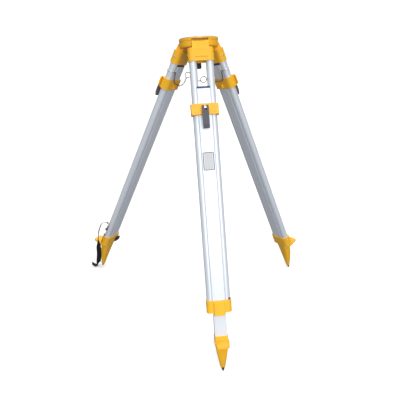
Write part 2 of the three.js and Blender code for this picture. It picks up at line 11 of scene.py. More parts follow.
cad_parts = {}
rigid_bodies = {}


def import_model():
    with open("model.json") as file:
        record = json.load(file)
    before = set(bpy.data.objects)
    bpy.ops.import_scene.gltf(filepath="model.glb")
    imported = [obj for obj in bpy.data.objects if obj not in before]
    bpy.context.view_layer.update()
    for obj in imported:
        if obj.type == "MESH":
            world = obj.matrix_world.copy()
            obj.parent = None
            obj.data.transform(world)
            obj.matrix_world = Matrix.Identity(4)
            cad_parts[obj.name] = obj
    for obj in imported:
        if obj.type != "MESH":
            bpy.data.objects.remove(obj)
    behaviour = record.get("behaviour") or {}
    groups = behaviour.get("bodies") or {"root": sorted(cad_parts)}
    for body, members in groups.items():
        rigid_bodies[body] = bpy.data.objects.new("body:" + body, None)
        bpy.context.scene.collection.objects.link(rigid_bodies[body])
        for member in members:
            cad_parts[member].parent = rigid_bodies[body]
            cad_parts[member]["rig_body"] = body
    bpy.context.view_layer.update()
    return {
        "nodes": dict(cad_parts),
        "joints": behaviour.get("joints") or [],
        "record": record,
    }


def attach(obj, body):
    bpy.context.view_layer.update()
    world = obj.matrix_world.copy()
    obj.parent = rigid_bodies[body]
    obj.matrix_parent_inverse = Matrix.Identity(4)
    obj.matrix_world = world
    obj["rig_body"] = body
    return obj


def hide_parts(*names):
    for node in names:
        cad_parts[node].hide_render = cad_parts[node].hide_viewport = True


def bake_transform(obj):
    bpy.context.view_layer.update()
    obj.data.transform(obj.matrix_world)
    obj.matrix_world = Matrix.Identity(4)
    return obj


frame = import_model()

bl_info = {
    "name": "Surveying Tripod",
    "version": (1, 0, 0),
    "blender": (4, 5, 0),
    "location": "View3D > Sidebar > Tripod",
    "description": "Builds the castings, rails, clamps, chain and strap of a surveying tripod",
    "category": "Object",
}

MM = 0.001
LEG_NAMES = ("front", "right", "left")


# ---- places -------------------------------------------------------------------------------
def joint(name):
    """The record of one joint of the frame."""
    return next(j for j in frame["joints"] if j["name"] == name)


def placed(origin, x, z):
    """A place: its z as given, x turned square to it, y across both."""
    z = np.array(z, float) / np.linalg.norm(z)
    x = np.array(x, float) - np.dot(x, z) * z
    x /= np.linalg.norm(x)
    place = np.eye(4)
    place[:3, 0], place[:3, 1], place[:3, 2], place[:3, 3] = x, np.cross(z, x), z, origin
    return place


def moved(place, x=0.0, y=0.0, z=0.0):
    """The same place shifted along its own axes."""
    step = np.eye(4)
    step[:3, 3] = x, y, z
    return place @ step


def turned(place, angle, axis="Z"):
    """The same place turned about one of its own axes."""
    return place @ np.array(Matrix.Rotation(angle, 4, axis))


def at(place, points):
    """Points told in a place, given in the row frame."""
    return np.asarray(points, float) @ place[:3, :3].T + place[:3, 3]


def leg_place(leg):
    """A leg's own place: origin on its pivot, x across, y inwards, z up along the leg."""
    hinge, slide = joint(f"hinge_{leg}"), joint(f"slide_{leg}")
    return placed(hinge["pos_m"], -np.array(hinge["axis"]), -np.array(slide["axis"]))


def lower_place(leg):
    """The place of the leg's sliding half, which hangs lower by as much as it is drawn out."""
    return moved(leg_place(leg), z=joint(f"slide_{leg}")["range_m"][0])


PIVOTS = np.array([joint(f"hinge_{leg}")["pos_m"] for leg in LEG_NAMES])
HEAD_CENTRE = PIVOTS.mean(0)
HEAD_AXIS = np.array(joint("arm_swing")["axis"])
TO_FRONT = PIVOTS[0] - HEAD_CENTRE
HEAD = placed(HEAD_CENTRE, np.cross(-TO_FRONT, HEAD_AXIS), HEAD_AXIS)
ARM_SHIFT = 50 * MM
SCREW_SHIFT = math.hypot(10, 50) * MM
ARM = placed(
    HEAD_CENTRE + ARM_SHIFT * HEAD[:3, 1],
    np.cross(-np.array(joint("bush_slide")["axis"]), HEAD_AXIS),
    HEAD_AXIS,
)
SCREW = moved(ARM, y=-SCREW_SHIFT)


# ---- surfaces -----------------------------------------------------------------------------
def fillet(corners, radii, steps=6):
    """An outline with its corners rounded, and its outward normals.

    Each corner becomes an arc that touches both of its edges at r*tan(turn/2) from the
    corner; its normals turn evenly from one edge's to the next one's.
    """
    p = np.asarray(corners, float)
    r = np.broadcast_to(np.asarray(radii, float), len(p))
    ahead = np.roll(p, -1, 0) - p
    ahead /= np.linalg.norm(ahead, axis=1)[:, None]
    before = np.roll(ahead, 1, 0)
    cross = before[:, 0] * ahead[:, 1] - before[:, 1] * ahead[:, 0]
    turn = np.arctan2(cross, (before * ahead).sum(1))
    side = np.where(turn < 0, -1.0, 1.0)
    start = p - before * (r * np.tan(np.abs(turn) / 2))[:, None]
    first = np.stack([before[:, 1], -before[:, 0]], 1)
    centre = start - first * (r * side)[:, None]
    a = turn[:, None] * np.linspace(0, 1, steps + 1)
    c, s = np.cos(a), np.sin(a)
    n = np.stack([first[:, :1] * c - first[:, 1:] * s, first[:, :1] * s + first[:, 1:] * c], -1)
    points = centre[:, None] + n * (r * side)[:, None, None]
    return points.reshape(-1, 2), n.reshape(-1, 2)


def box_outline(width, depth, radius, y=0.0, steps=6):
    """A rectangle with rounded corners, centred on (0, y)."""
    w, d = width / 2, depth / 2
    corners = [(w, y - d), (w, y + d), (-w, y + d), (-w, y - d)]
    return fillet(corners, radius, steps)


def bar_outline(width, depth, cup, rail_x, edge=0.0012, steps=14):
    """A rectangle whose two sides are hollowed by arcs of radius cup round the rails.

    The arcs are centred at (+-rail_x, 0) and meet the sides where
    y = sqrt(cup^2 - (rail_x - width/2)^2); the four outer corners are rounded.
    """
    w, d = width / 2, depth / 2
    lip = math.sqrt(cup**2 - (rail_x - w) ** 2)
    sweep = math.asin(lip / cup)
    a = np.linspace(-sweep, sweep, steps)
    hollow = np.stack([rail_x - cup * np.cos(a), cup * np.sin(a)], 1)
    hollow_n = np.stack([np.cos(a), -np.sin(a)], 1)
    top, top_n = fillet([(w, lip), (w, d), (-w, d), (-w, lip)], [0, edge, edge, 0], 3)
    inner = slice(4, -4)
    right = (hollow, hollow_n)
    upper = (top[inner], top_n[inner])
    half_p = np.concatenate([right[0], upper[0]])
    half_n = np.concatenate([right[1], upper[1]])
    return np.concatenate([half_p, -half_p]), np.concatenate([half_n, -half_n])


def raised(outline, low, high, edge=0.0, steps=4):
    """Rings of an outline raised from z = low to high, with both rims rounded.

    At the rim's angle t the outline is drawn in by edge*(1 - sin t) and stands
    edge*(1 - cos t) from its end.
    """
    points, normals = outline
    t = np.linspace(0, math.pi / 2, steps + 1) if edge else np.array([math.pi / 2])
    inset = edge * (1 - np.sin(t))
    rise = edge * (1 - np.cos(t))
    inset = np.concatenate([inset, inset[::-1]])
    z = np.concatenate([low + rise, (high - rise)[::-1]])
    flat = points[None] - normals[None] * inset[:, None, None]
    return np.concatenate([flat, np.broadcast_to(z[:, None, None], (*flat.shape[:2], 1))], -1)


def lathe(outline, sides=64, turn=2 * math.pi):
    """Rings of a closed (r, z) outline turned about z: x = r*cos(a), y = r*sin(a)."""
    r, z = np.asarray(outline, float).T
    a = np.linspace(0, turn, sides, endpoint=False)
    return np.stack(
        [r[:, None] * np.cos(a), r[:, None] * np.sin(a), np.broadcast_to(z[:, None], (len(r), sides))], -1
    )


def upright(rings, axis="X"):
    """Rings raised along z laid over, so that they are raised along x, or along y."""
    x, y, z = np.moveaxis(rings, -1, 0)
    return np.stack([z, x, y] if axis == "X" else [x, -z, y], -1)


def curve_through(points, count):
    """Points evenly spaced along the smooth curve through the given ones.

    Between neighbours it is the cubic whose slopes at its ends are the mean chord slopes.
    """
    p = np.asarray(points, float)
    s = np.r_[0, np.cumsum(np.linalg.norm(np.diff(p, axis=0), axis=1))]
    slope = np.gradient(p, s, axis=0)
    u = np.linspace(0, s[-1], 30 * len(p))
    i = np.clip(np.searchsorted(s, u, "right") - 1, 0, len(p) - 2)
    h = (s[i + 1] - s[i])[:, None]
    t = (u - s[i])[:, None] / h
    q = (
        (2 * t**3 - 3 * t**2 + 1) * p[i]
        + (t**3 - 2 * t**2 + t) * h * slope[i]
        + (3 * t**2 - 2 * t**3) * p[i + 1]
        + (t**3 - t**2) * h * slope[i + 1]
    )
    run = np.r_[0, np.cumsum(np.linalg.norm(np.diff(q, axis=0), axis=1))]
    even = np.linspace(0, run[-1], count)
    return np.stack([np.interp(even, run, q[:, k]) for k in range(3)], 1)


def eased(u, low, high):
    """Rises from 0 at low to 1 at high as 3t^2 - 2t^3, flat at both ends."""
    t = np.clip((u - low) / (high - low), 0, 1)
    return t**2 * (3 - 2 * t)


def axes_along(path, across):
    """Unit vectors along a path, across it and through it, from a rough across direction."""
    along = np.gradient(path, axis=0)
    along /= np.linalg.norm(along, axis=1)[:, None]
    across = np.broadcast_to(np.asarray(across, float), path.shape)
    across = across - (across * along).sum(1)[:, None] * along
    across /= np.linalg.norm(across, axis=1)[:, None]
    return along, across, np.cross(along, across)


def round_wire(path, radius, across, sides=12):
    """Rings of a round section carried along a path."""
    _, side, through = axes_along(path, across)
    a = np.linspace(0, 2 * math.pi, sides, endpoint=False)
    ring = np.cos(a)[:, None] * side[:, None] + np.sin(a)[:, None] * through[:, None]
    return path[:, None] + radius * ring


def shell(rings, loop=False):
    """A closed skin through rings of points: (points, faces, uv for each face corner).

    Neighbouring rings are joined by four-sided faces and a flat face covers each end, or the
    last ring joins the first where loop is true. u is the distance round the first whole
    ring and v the distance along the first line, in metres. Faces are turned outwards.
    """
    n, m = rings.shape[:2]
    index = np.arange(n * m).reshape(n, m)
    rows = np.concatenate([index, index[:1]]) if loop else index
    here, there = rows[:-1], rows[1:]
    quads = np.stack([here, np.roll(here, -1, 1), np.roll(there, -1, 1), there], -1).reshape(-1, 4)
    girth = np.linalg.norm(np.roll(rings, -1, 1) - rings, axis=-1)
    widest = girth.sum(1).argmax()
    u = np.r_[0, np.cumsum(girth[widest])]
    steps = np.linalg.norm(np.roll(rings, -1, 0)[:, 0] - rings[:, 0], axis=-1)
    v = np.r_[0, np.cumsum(steps)][: len(rows)]
    u0, v0 = np.meshgrid(u[:-1], v[:-1])
    u1, v1 = np.meshgrid(u[1:], v[1:])
    uv = np.stack([np.stack(c, -1) for c in ((u0, v0), (u1, v0), (u1, v1), (u0, v1))], 2)
    faces = quads.tolist()
    uv = uv.reshape(-1, 2)
    points = rings.reshape(-1, 3)
    if not loop:
        faces += [index[0, ::-1].tolist(), index[-1].tolist()]
        flat = np.stack([u[:-1], np.zeros(m)], 1)
        uv = np.concatenate([uv, flat[::-1], flat])
    a, b, c, d = points[quads].swapaxes(0, 1)
    volume = (np.cross(a, b) * c).sum() + (np.cross(a, c) * d).sum()
    if not loop:
        for ring, sign in ((rings[0], -1), (rings[-1], 1)):
            volume += sign * (np.cross(ring[0], ring[1:-1]) * ring[2:]).sum()
    return points, faces, uv, volume < 0


def mesh_of(name, skins):
    """One mesh of several closed skins, each with its faces outwards."""
    points = np.concatenate([s[0] for s in skins])
    start = np.cumsum([0] + [len(s[0]) for s in skins])
    faces, corners = [], []
    for (_, f, uv, inward), first in zip(skins, start):
        bounds = np.cumsum([0] + [len(g) for g in f])
        flat = np.concatenate([np.asarray(g) for g in f]) + first
        for a, b in zip(bounds[:-1], bounds[1:]):
            step = -1 if inward else 1
            faces.append(flat[a:b][::step].tolist())
            corners.append(uv[a:b][::step])
    mesh = bpy.data.meshes.new(name)
    mesh.from_pydata(points.tolist(), [], faces)
    layer = mesh.uv_layers.new(name="UVMap")
    layer.data.foreach_set("uv", np.concatenate(corners).astype(np.float32).ravel())
    work = bmesh.new()
    work.from_mesh(mesh)
    bmesh.ops.remove_doubles(work, verts=work.verts, dist=2e-6)
    bmesh.ops.dissolve_degenerate(work, edges=work.edges, dist=1e-7)
    work.to_mesh(mesh)
    work.free()
    return mesh


def carved(name, solids, holes=()):
    """The first solid joined with the others, less the holes, each a list of skins."""
    scene = bpy.context.scene.collection
    parts = [(mesh_of(name, [s]), "UNION") for s in solids]
    parts += [(mesh_of(name, [s]), "DIFFERENCE") for s in holes]
    objects = [bpy.data.objects.new(f"{name}_{i}", mesh) for i, (mesh, _) in enumerate(parts)]
    for obj in objects:
        scene.objects.link(obj)
    base = objects[0]
    for obj, (_, operation) in zip(objects[1:], parts[1:]):
        step = base.modifiers.new("step", "BOOLEAN")
        step.operation, step.object, step.solver = operation, obj, "EXACT"
    bpy.context.view_layer.update()
    evaluated = base.evaluated_get(bpy.context.evaluated_depsgraph_get())
    result = bpy.data.meshes.new_from_object(evaluated)
    result.name = name
    for obj in objects:
        mesh = obj.data
        bpy.data.objects.remove(obj)
        bpy.data.meshes.remove(mesh)
    if len(result.polygons) < 6:
        raise RuntimeError(f"{name} came out empty")
    return result


def piece(name, made, place, body, slot, finish, nodes=(), edge=0.0, sharp=40):
    """Puts a mesh in its place as one piece that rides on a body, with its edges rounded."""
    mesh = made.copy() if isinstance(made, bpy.types.Mesh) else mesh_of(name, made)
    mesh.name = name
    mesh.transform(Matrix(place.tolist()))
    mesh.materials.append(bpy.data.materials[finish])
    mesh.polygons.foreach_set("use_smooth", [True] * len(mesh.polygons))
    obj = bpy.data.objects.new(name, mesh)
    bpy.context.scene.collection.objects.link(obj)
    if edge:
        bevel = obj.modifiers.new("round edges", "BEVEL")
        bevel.width, bevel.segments, bevel.limit_method = edge, 3, "ANGLE"
        bevel.angle_limit = math.radians(sharp)
        bevel.harden_normals = True
    else:
        mesh.set_sharp_from_angle(angle=math.radians(sharp))
        even = obj.modifiers.new("even shading", "WEIGHTED_NORMAL")
        even.keep_sharp = True
    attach(obj, body)
    if nodes:
        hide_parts(*nodes)
    return obj


# ---- shared effects -----------------------------------------------------------------------
def effect(name, inputs, outputs):
    """A new shader node group with named number inputs and outputs."""
    group = bpy.data.node_groups.new(name, "ShaderNodeTree")
    for label, value in inputs:
        group.interface.new_socket(label, in_out="INPUT", socket_type="NodeSocketFloat").default_value = value
    for label, kind in outputs:
        group.interface.new_socket(label, in_out="OUTPUT", socket_type=kind)
    return group, group.nodes.new("NodeGroupInput"), group.nodes.new("NodeGroupOutput")


def node(tree, kind, **settings):
    """A node of that kind with its settings and unlinked input values."""
    made = tree.nodes.new(kind)
    for key, value in settings.items():
        if key in made.bl_rna.properties:
            setattr(made, key, value)
        else:
            made.inputs[key.replace("_", " ")].default_value = value
    return made


def maths(tree, operation, a, b):
    """A math node of two inputs, each a number or a socket."""
    made = node(tree, "ShaderNodeMath", operation=operation)
    for socket, value in zip(made.inputs, (a, b)):
        if isinstance(value, (int, float)):
            socket.default_value = value
        else:
            tree.links.new(value, socket)
    return made.outputs[0]


def noise(tree, vector, scale, detail=3.0, roughness=0.5):
    """A noise value between 0 and 1, its scale a number or a socket."""
    made = node(tree, "ShaderNodeTexNoise", Detail=detail, Roughness=roughness)
    tree.links.new(vector, made.inputs["Vector"])
    if isinstance(scale, (int, float)):
        made.inputs["Scale"].default_value = scale
    else:
        tree.links.new(scale, made.inputs["Scale"])
    return made.outputs[0]


def make_edge_wear():
    """Mask of rubbed edges: how far a normal smoothed over Radius turns from the true one."""
    tree, given, out = effect("edge_wear", [("Radius", 0.0015), ("Amount", 1.0)], [("Mask",
        "NodeSocketFloat")])
    smooth = node(tree, "ShaderNodeBevel", samples=6)
    tree.links.new(given.outputs["Radius"], smooth.inputs["Radius"])
    true = node(tree, "ShaderNodeNewGeometry")
    dot = node(tree, "ShaderNodeVectorMath", operation="DOT_PRODUCT")
    tree.links.new(smooth.outputs[0], dot.inputs[0])
    tree.links.new(true.outputs["Normal"], dot.inputs[1])
    bend = maths(tree, "SUBTRACT", 1.0, dot.outputs["Value"])
    place = node(tree, "ShaderNodeTexCoord").outputs["Object"]
    patch = maths(tree, "MULTIPLY", noise(tree, place, 60.0), 1.6)
    mask = maths(tree, "MULTIPLY", maths(tree, "MULTIPLY", bend, 9.0), patch)
    mask = maths(tree, "MINIMUM", maths(tree, "MULTIPLY", mask, given.outputs["Amount"]), 1.0)
    tree.links.new(maths(tree, "MAXIMUM", mask, 0.0), out.inputs["Mask"])


def make_cast_grain():
    """Fine orange peel of a sprayed or moulded skin, and its slow change of tone."""
    tree, given, out = effect(
        "cast_grain", [("Scale", 900.0), ("Depth", 1.0)], [("Height", "NodeSocketFloat"), ("Tone",
            "NodeSocketFloat")]
    )
    place = node(tree, "ShaderNodeTexCoord").outputs["Object"]
    fine = noise(tree, place, given.outputs["Scale"], 2.0)
    coarse = noise(tree, place, maths(tree, "MULTIPLY", given.outputs["Scale"], 0.12), 2.0)
    height = maths(tree, "ADD", maths(tree, "MULTIPLY", fine, 0.6), maths(tree, "MULTIPLY", coarse, 0.4))
    tree.links.new(maths(tree, "MULTIPLY", height, given.outputs["Depth"]), out.inputs["Height"])
    tree.links.new(noise(tree, place, 14.0, 4.0, 0.55), out.inputs["Tone"])


def make_drawn_lines():
    """Lines left lengthwise by the die: noise on the surface's own map, long drawn in v."""
    tree, given, out = effect(
        "drawn_lines", [("Across", 3000.0), ("Along", 6.0)], [("Lines", "NodeSocketFloat"), ("Tone",
            "NodeSocketFloat")]
    )
    spot = node(tree, "ShaderNodeUVMap", uv_map="UVMap")
    split = node(tree, "ShaderNodeSeparateXYZ")
    tree.links.new(spot.outputs[0], split.inputs[0])
    join = node(tree, "ShaderNodeCombineXYZ")
    tree.links.new(maths(tree, "MULTIPLY", split.outputs["X"], given.outputs["Across"]), join.inputs["X"])
    tree.links.new(maths(tree, "MULTIPLY", split.outputs["Y"], given.outputs["Along"]), join.inputs["Y"])
    tree.links.new(noise(tree, join.outputs[0], 1.0, 4.0, 0.6), out.inputs["Lines"])
    place = node(tree, "ShaderNodeTexCoord").outputs["Object"]
    tree.links.new(noise(tree, place, 22.0, 4.0), out.inputs["Tone"])


def make_webbing_weave():
    """Twill of flat yarns on the strap's map: ridges across the band that step sideways."""
    tree, given, out = effect("webbing_weave", [("Pitch", 0.0016)], [("Height", "NodeSocketFloat"),
        ("Yarn", "NodeSocketFloat")])
    spot = node(tree, "ShaderNodeUVMap", uv_map="UVMap")
    split = node(tree, "ShaderNodeSeparateXYZ")
    tree.links.new(spot.outputs[0], split.inputs[0])
    across = maths(tree, "DIVIDE", maths(tree, "MULTIPLY", split.outputs["X"], 2 * math.pi),
        given.outputs["Pitch"])
    along = maths(tree, "DIVIDE", maths(tree, "MULTIPLY", split.outputs["Y"], 2 * math.pi),
        given.outputs["Pitch"])
    one = maths(tree, "SINE", maths(tree, "ADD", across, along), 0.0)
    two = maths(tree, "SINE", maths(tree, "MULTIPLY", across, 2.0), 0.0)
    height = maths(tree, "ADD", maths(tree, "MULTIPLY", one, 0.5), maths(tree, "MULTIPLY", two, 0.3))
    tree.links.new(height, out.inputs["Height"])
    tree.links.new(noise(tree, node(tree, "ShaderNodeTexCoord").outputs["Object"], 700.0), out.inputs["Yarn"])


def use(tree, name, **values):
    """One shared effect placed in a material with its own values."""
    made = tree.nodes.new("ShaderNodeGroup")
    made.node_tree = bpy.data.node_groups[name]
    for key, value in values.items():
        made.inputs[key].default_value = value
    return made


def blend_colour(tree, factor, a, b):
    """A colour mixed from a to b, each a colour or a socket, by a mask."""
    made = node(tree, "ShaderNodeMix", data_type="RGBA")
    tree.links.new(factor, made.inputs["Factor"])
    for socket, value in zip([s for s in made.inputs if s.type == "RGBA"], (a, b)):
        if isinstance(value, bpy.types.NodeSocket):
            tree.links.new(value, socket)
        else:
            socket.default_value = (*value, 1.0)
    return next(s for s in made.outputs if s.type == "RGBA")


def between(tree, value, low, high):
    """A value from 0 to 1 spread from low to high."""
    made = node(tree, "ShaderNodeMapRange", To_Min=low, To_Max=high)
    tree.links.new(value, made.inputs["Value"])
    return made.outputs[0]


def bump(tree, bsdf, height, distance):
    """Relief of that depth, in metres, on the shader's normal."""
    made = node(tree, "ShaderNodeBump", Distance=distance, Strength=1.0)
    tree.links.new(height, made.inputs["Height"])
    tree.links.new(made.outputs[0], bsdf.inputs["Normal"])


def material(name):
    """An empty node material: its tree and its Principled shader."""
    made = bpy.data.materials.new(name)
    made.use_nodes = True
    return made.node_tree, made.node_tree.nodes["Principled BSDF"]


def make_powder_coat(colours):
    """Yellow powder coat: tone drifts a little, edges rub paler, fine orange peel."""
    tree, bsdf = material("yellow_powder_coat")
    yellow = np.array(colours.yellow)
    grain, wear = use(tree, "cast_grain", Scale=1100.0), use(tree, "edge_wear", Radius=0.0014, Amount=1.0)
    tone = blend_colour(tree, grain.outputs["Tone"], tuple(yellow * 0.93), tuple(yellow * (1.05, 1.07, 1.2)))
    rubbed = maths(tree, "MULTIPLY", wear.outputs["Mask"], 0.55)
    shade = blend_colour(tree, rubbed, tone, tuple(yellow * 0.55 + (0.45, 0.38, 0.20)))
    tree.links.new(shade, bsdf.inputs["Base Color"])
    tree.links.new(between(tree, grain.outputs["Tone"], 0.34, 0.46), bsdf.inputs["Roughness"])
    bsdf.inputs["Specular IOR Level"].default_value = 0.35
    bsdf.inputs["Coat Weight"].default_value = 0.08
    bsdf.inputs["Coat Roughness"].default_value = 0.25
    bump(tree, bsdf, grain.outputs["Height"], 0.00006)


def make_drawn_aluminium(colours):
    """Matt anodised tube: pale metal with fine lines along it and faint clouding."""
    tree, bsdf = material("drawn_aluminium")
    pale = np.array(colours.aluminium)
    lines = use(tree, "drawn_lines", Across=2600.0, Along=5.0)
    tone = blend_colour(tree, lines.outputs["Tone"], tuple(pale * 0.95), tuple(pale))
    shade = blend_colour(tree, between(tree, lines.outputs["Lines"], 0.0, 0.35), tone, tuple(pale * 0.8))
    tree.links.new(shade, bsdf.inputs["Base Color"])
    bsdf.inputs["Metallic"].default_value = 0.3
    tree.links.new(between(tree, lines.outputs["Lines"], 0.36, 0.5), bsdf.inputs["Roughness"])
    bump(tree, bsdf, lines.outputs["Lines"], 0.00003)


def make_machined_face(colours):
    """Bare turned metal on the head's top: fine rings round its own axis."""
    tree, bsdf = material("machined_face")
    place = node(tree, "ShaderNodeTexCoord").outputs["Object"]
    centre = node(tree, "ShaderNodeMapping", vector_type="TEXTURE")
    centre.inputs["Location"].default_value = HEAD_CENTRE
    centre.inputs["Rotation"].default_value = Matrix(HEAD[:3, :3].tolist()).to_euler()
    tree.links.new(place, centre.inputs["Vector"])
    rings = node(tree, "ShaderNodeTexWave", wave_type="RINGS", rings_direction="Z", Scale=420.0)
    rings.inputs["Distortion"].default_value = 0.6
    tree.links.new(centre.outputs[0], rings.inputs["Vector"])
    grey = np.array(colours.machined)
    cloud = noise(tree, place, 30.0)
    turned_rings = blend_colour(tree, rings.outputs["Fac"], tuple(grey * 0.82), tuple(grey))
    tree.links.new(blend_colour(tree, cloud, turned_rings, tuple(grey * 0.9)), bsdf.inputs["Base Color"])
    bsdf.inputs["Metallic"].default_value = 1.0
    tree.links.new(between(tree, cloud, 0.26, 0.42), bsdf.inputs["Roughness"])
    bump(tree, bsdf, rings.outputs["Fac"], 0.00003)


def make_metal(name, colour, low, high, metallic=1.0, depth=0.00003, scale=500.0):
    """A plated or blackened metal: cloudy roughness from low to high and bright worn edges."""
    tree, bsdf = material(name)
    colour = np.array(colour)
    grain, wear = use(tree, "cast_grain", Scale=scale), use(tree, "edge_wear", Radius=0.0006, Amount=0.8)
    tone = blend_colour(tree, grain.outputs["Tone"], tuple(colour * 0.82),
        tuple(np.minimum(colour * 1.12, 1)))
    worn = maths(tree, "MULTIPLY", wear.outputs["Mask"], 0.6)
    tree.links.new(blend_colour(tree, worn, tone, tuple(colour * 0.5 + 0.3)), bsdf.inputs["Base Color"])
    bsdf.inputs["Metallic"].default_value = metallic
    tree.links.new(between(tree, grain.outputs["Tone"], low, high), bsdf.inputs["Roughness"])
    bump(tree, bsdf, grain.outputs["Height"], depth)


def make_plastic(name, colour, low, high, scale=1500.0):
    """Moulded plastic: fine even grain, scuffed a little paler along its edges."""
    tree, bsdf = material(name)
    colour = np.array(colour)
    grain, wear = use(tree, "cast_grain", Scale=scale), use(tree, "edge_wear", Radius=0.0008, Amount=0.6)
    tone = blend_colour(tree, grain.outputs["Tone"], tuple(colour * 0.8), tuple(colour * 1.2))
    scuffed = maths(tree, "MULTIPLY", wear.outputs["Mask"], 0.35)
    tree.links.new(blend_colour(tree, scuffed, tone, tuple(colour * 0.6 + 0.12)), bsdf.inputs["Base Color"])
    bsdf.inputs["Specular IOR Level"].default_value = 0.25
    tree.links.new(between(tree, grain.outputs["Tone"], low, high), bsdf.inputs["Roughness"])
    bump(tree, bsdf, grain.outputs["Height"], 0.00005)


def make_webbing(colours):
    """Black polyester webbing: a twill weave, a soft sheen on its yarns, a painted highlight on its raised
    ridges.
    """
    tree, bsdf = material("black_webbing")
    black = np.array(colours.webbing)
    weave = use(tree, "webbing_weave", Pitch=0.0015)
    shade = blend_colour(tree, weave.outputs["Yarn"], tuple(black * 0.7), tuple(black * 1.4))
    # painted highlight: the weave's raised ridges are painted paler where its height is greatest
    high = blend_colour(tree, weave.outputs["Height"], shade, tuple(black * 1.7))
    tree.links.new(high, bsdf.inputs["Base Color"])
    tree.links.new(between(tree, weave.outputs["Yarn"], 0.45, 0.7), bsdf.inputs["Roughness"])
    bsdf.inputs["Specular IOR Level"].default_value = 0.35
    bsdf.inputs["Sheen Weight"].default_value = 0.06
    bsdf.inputs["Sheen Roughness"].default_value = 0.4
    bump(tree, bsdf, weave.outputs["Height"], 0.00015)


def make_label(colours):
    """A blank printed film: satin, with a faint fibre tone and a slightly rough face."""
    tree, bsdf = material("label_film")
    tint = np.array(colours.label)
    grain = use(tree, "cast_grain", Scale=700.0)
    tree.links.new(
        blend_colour(tree, grain.outputs["Tone"], tuple(tint * 0.94), tuple(tint)), bsdf.inputs["Base Color"]
    )
    tree.links.new(between(tree, grain.outputs["Tone"], 0.3, 0.42), bsdf.inputs["Roughness"])
    bump(tree, bsdf, grain.outputs["Height"], 0.00002)


# ---- settings -----------------------------------------------------------------------------
def length(label, size_mm, description):
    """A length property whose default is given in millimetres."""
    return FloatProperty(
        name=label, description=description, default=size_mm * MM, min=0.0, unit="LENGTH", subtype="DISTANCE"
    )


def tint(label, colour, description):
    """A colour property, in linear red, green and blue."""
    return FloatVectorProperty(
        name=label, description=description, default=colour, min=0.0, max=1.0, size=3, subtype="COLOR"
    )


def angle(label, degrees, description):
    """An angle property whose default is given in degrees."""
    return FloatProperty(name=label, description=description, default=math.radians(degrees), subtype="ANGLE")


class TripodColours(bpy.types.PropertyGroup):
    """Colours of the tripod's finishes."""

    yellow: tint("Powder coat", (0.90, 0.47, 0.018), "Yellow of the castings")
    aluminium: tint("Anodised aluminium", (0.74, 0.79, 0.86), "Rails and inner bars")
    machined: tint("Machined face", (0.42, 0.42, 0.43), "Bare top of the head")
    webbing: tint("Webbing", (0.004, 0.004, 0.005), "Carrying strap")
    label: tint("Label", (0.50, 0.52, 0.54), "Blank label on the front leg")


class HeadSizes(bpy.types.PropertyGroup):
    """Sizes of the head casting."""

    radius: length("Radius", 68, "Outer radius of the head's top flange")
    top: length("Top", 24, "Top face above the leg pivots")
    foot: length("Underside", 6.3, "Underside below the leg pivots")
    opening: length("Opening", 27, "Radius of the hole that the fixing screw moves in")
    slot_width: length("Slot width", 57, "Width of each leg's slot")
    slot_roof: length("Slot roof", 18.5, "Roof of the slots above the leg pivots")
    pivot_radius: length("Pivot radius", 56.5, "Leg pivots from the head's axis")


class LegSizes(bpy.types.PropertyGroup):
    """Sizes that the three legs share."""

    rail_radius: length("Rail radius", 13, "Outer radius of a rail tube")
    rail_shift: length("Rail shift", 28.2, "Rail axis from the leg's centre line")
    block_width: length("Block width", 87.5, "Leg head block across both rails")
    block_depth: length("Block depth", 33.2, "Leg head block from front to back")
    collar_top: length("Collar top", 867, "Top of the bottom collar, down the leg")
    bar_width: length("Bar width", 43.5, "Inner bar across")
    bar_depth: length("Bar depth", 30, "Inner bar from front to back")
    clamp_top: length("Clamp top", 116, "Top of the clamp, down the leg")
    clamp_height: length("Clamp height", 38, "Clamp along the leg")
    lever_length: length("Lever length", 68.5, "Clamp lever below its pin")
    shoe_top: length("Shoe top", 911, "Top of the shoe, down the leg")


class StrapSizes(bpy.types.PropertyGroup):
    """Sizes of the chain and the carrying strap."""

    width: length("Strap width", 20, "Width of the webbing")
    thickness: length("Strap thickness", 1.5, "Thickness of the webbing")
    link: length("Chain link", 7.5, "Outer length of a spreader chain link")
    wire: length("Link wire", 0.85, "Wire radius of a chain link")


class StageSettings(bpy.types.PropertyGroup):
    """Camera and floor."""

    eye: FloatVectorProperty(
        name="Eye", description="Where the camera stands", default=(-0.10101, -1.17831, 1.26705),
        subtype="XYZ",
        unit="LENGTH",
    )
    pan: angle("Pan", 5.195, "Turn of the view to the right")
    pitch: angle("Pitch", 32.458, "Tilt of the view downwards")
    roll: angle("Roll", 0.552, "Turn of the view about its own axis")
    lens: FloatProperty(name="Lens", description="Focal length for a 36 mm sensor", default=35.65,
        unit="CAMERA")
    floor: tint("Floor", (0.95, 0.95, 0.95), "Plain floor")
    bounce: tint("Bounce", (0.22, 0.22, 0.23), "How pale the floor is in the light that it gives back")
    reach: FloatProperty(name="Reach", description="Radius of the floor", default=60.0, min=5.0,
        unit="LENGTH")
    daylight: FloatProperty(name="Daylight", description="Strength of the soft light from above",
        default=2.9, min=0.0)


# ---- pieces -------------------------------------------------------------------------------
GAP = 0.3 * MM
RUN = 0.6 * MM
PIN_RADIUS = 3 * MM
SOCKET_DEPTH = 26 * MM
COLLAR_HEIGHT = 43 * MM
CLAMP_WIDTH = 95.5 * MM
CLAMP_DEPTH = 36 * MM
PLATE_DEPTH = 4.5 * MM
CAM_RADIUS = 8 * MM
CAM_DROP = 15.5 * MM
CAM_Y = -31.1 * MM
STEM_RADIUS = 4.2 * MM
LABEL_DROP = 308 * MM


def rod(radius, low, high, x=0.0, y=0.0, edge=0.0, sides=48):
    """A round rod along z from low to high, with rounded rims."""
    a = np.linspace(0, 2 * math.pi, sides, endpoint=False)
    circle = np.stack([np.cos(a), np.sin(a)], 1)
    rings = raised((circle * radius, circle), low, high, edge)
    return shell(rings + np.array([x, y, 0.0]))


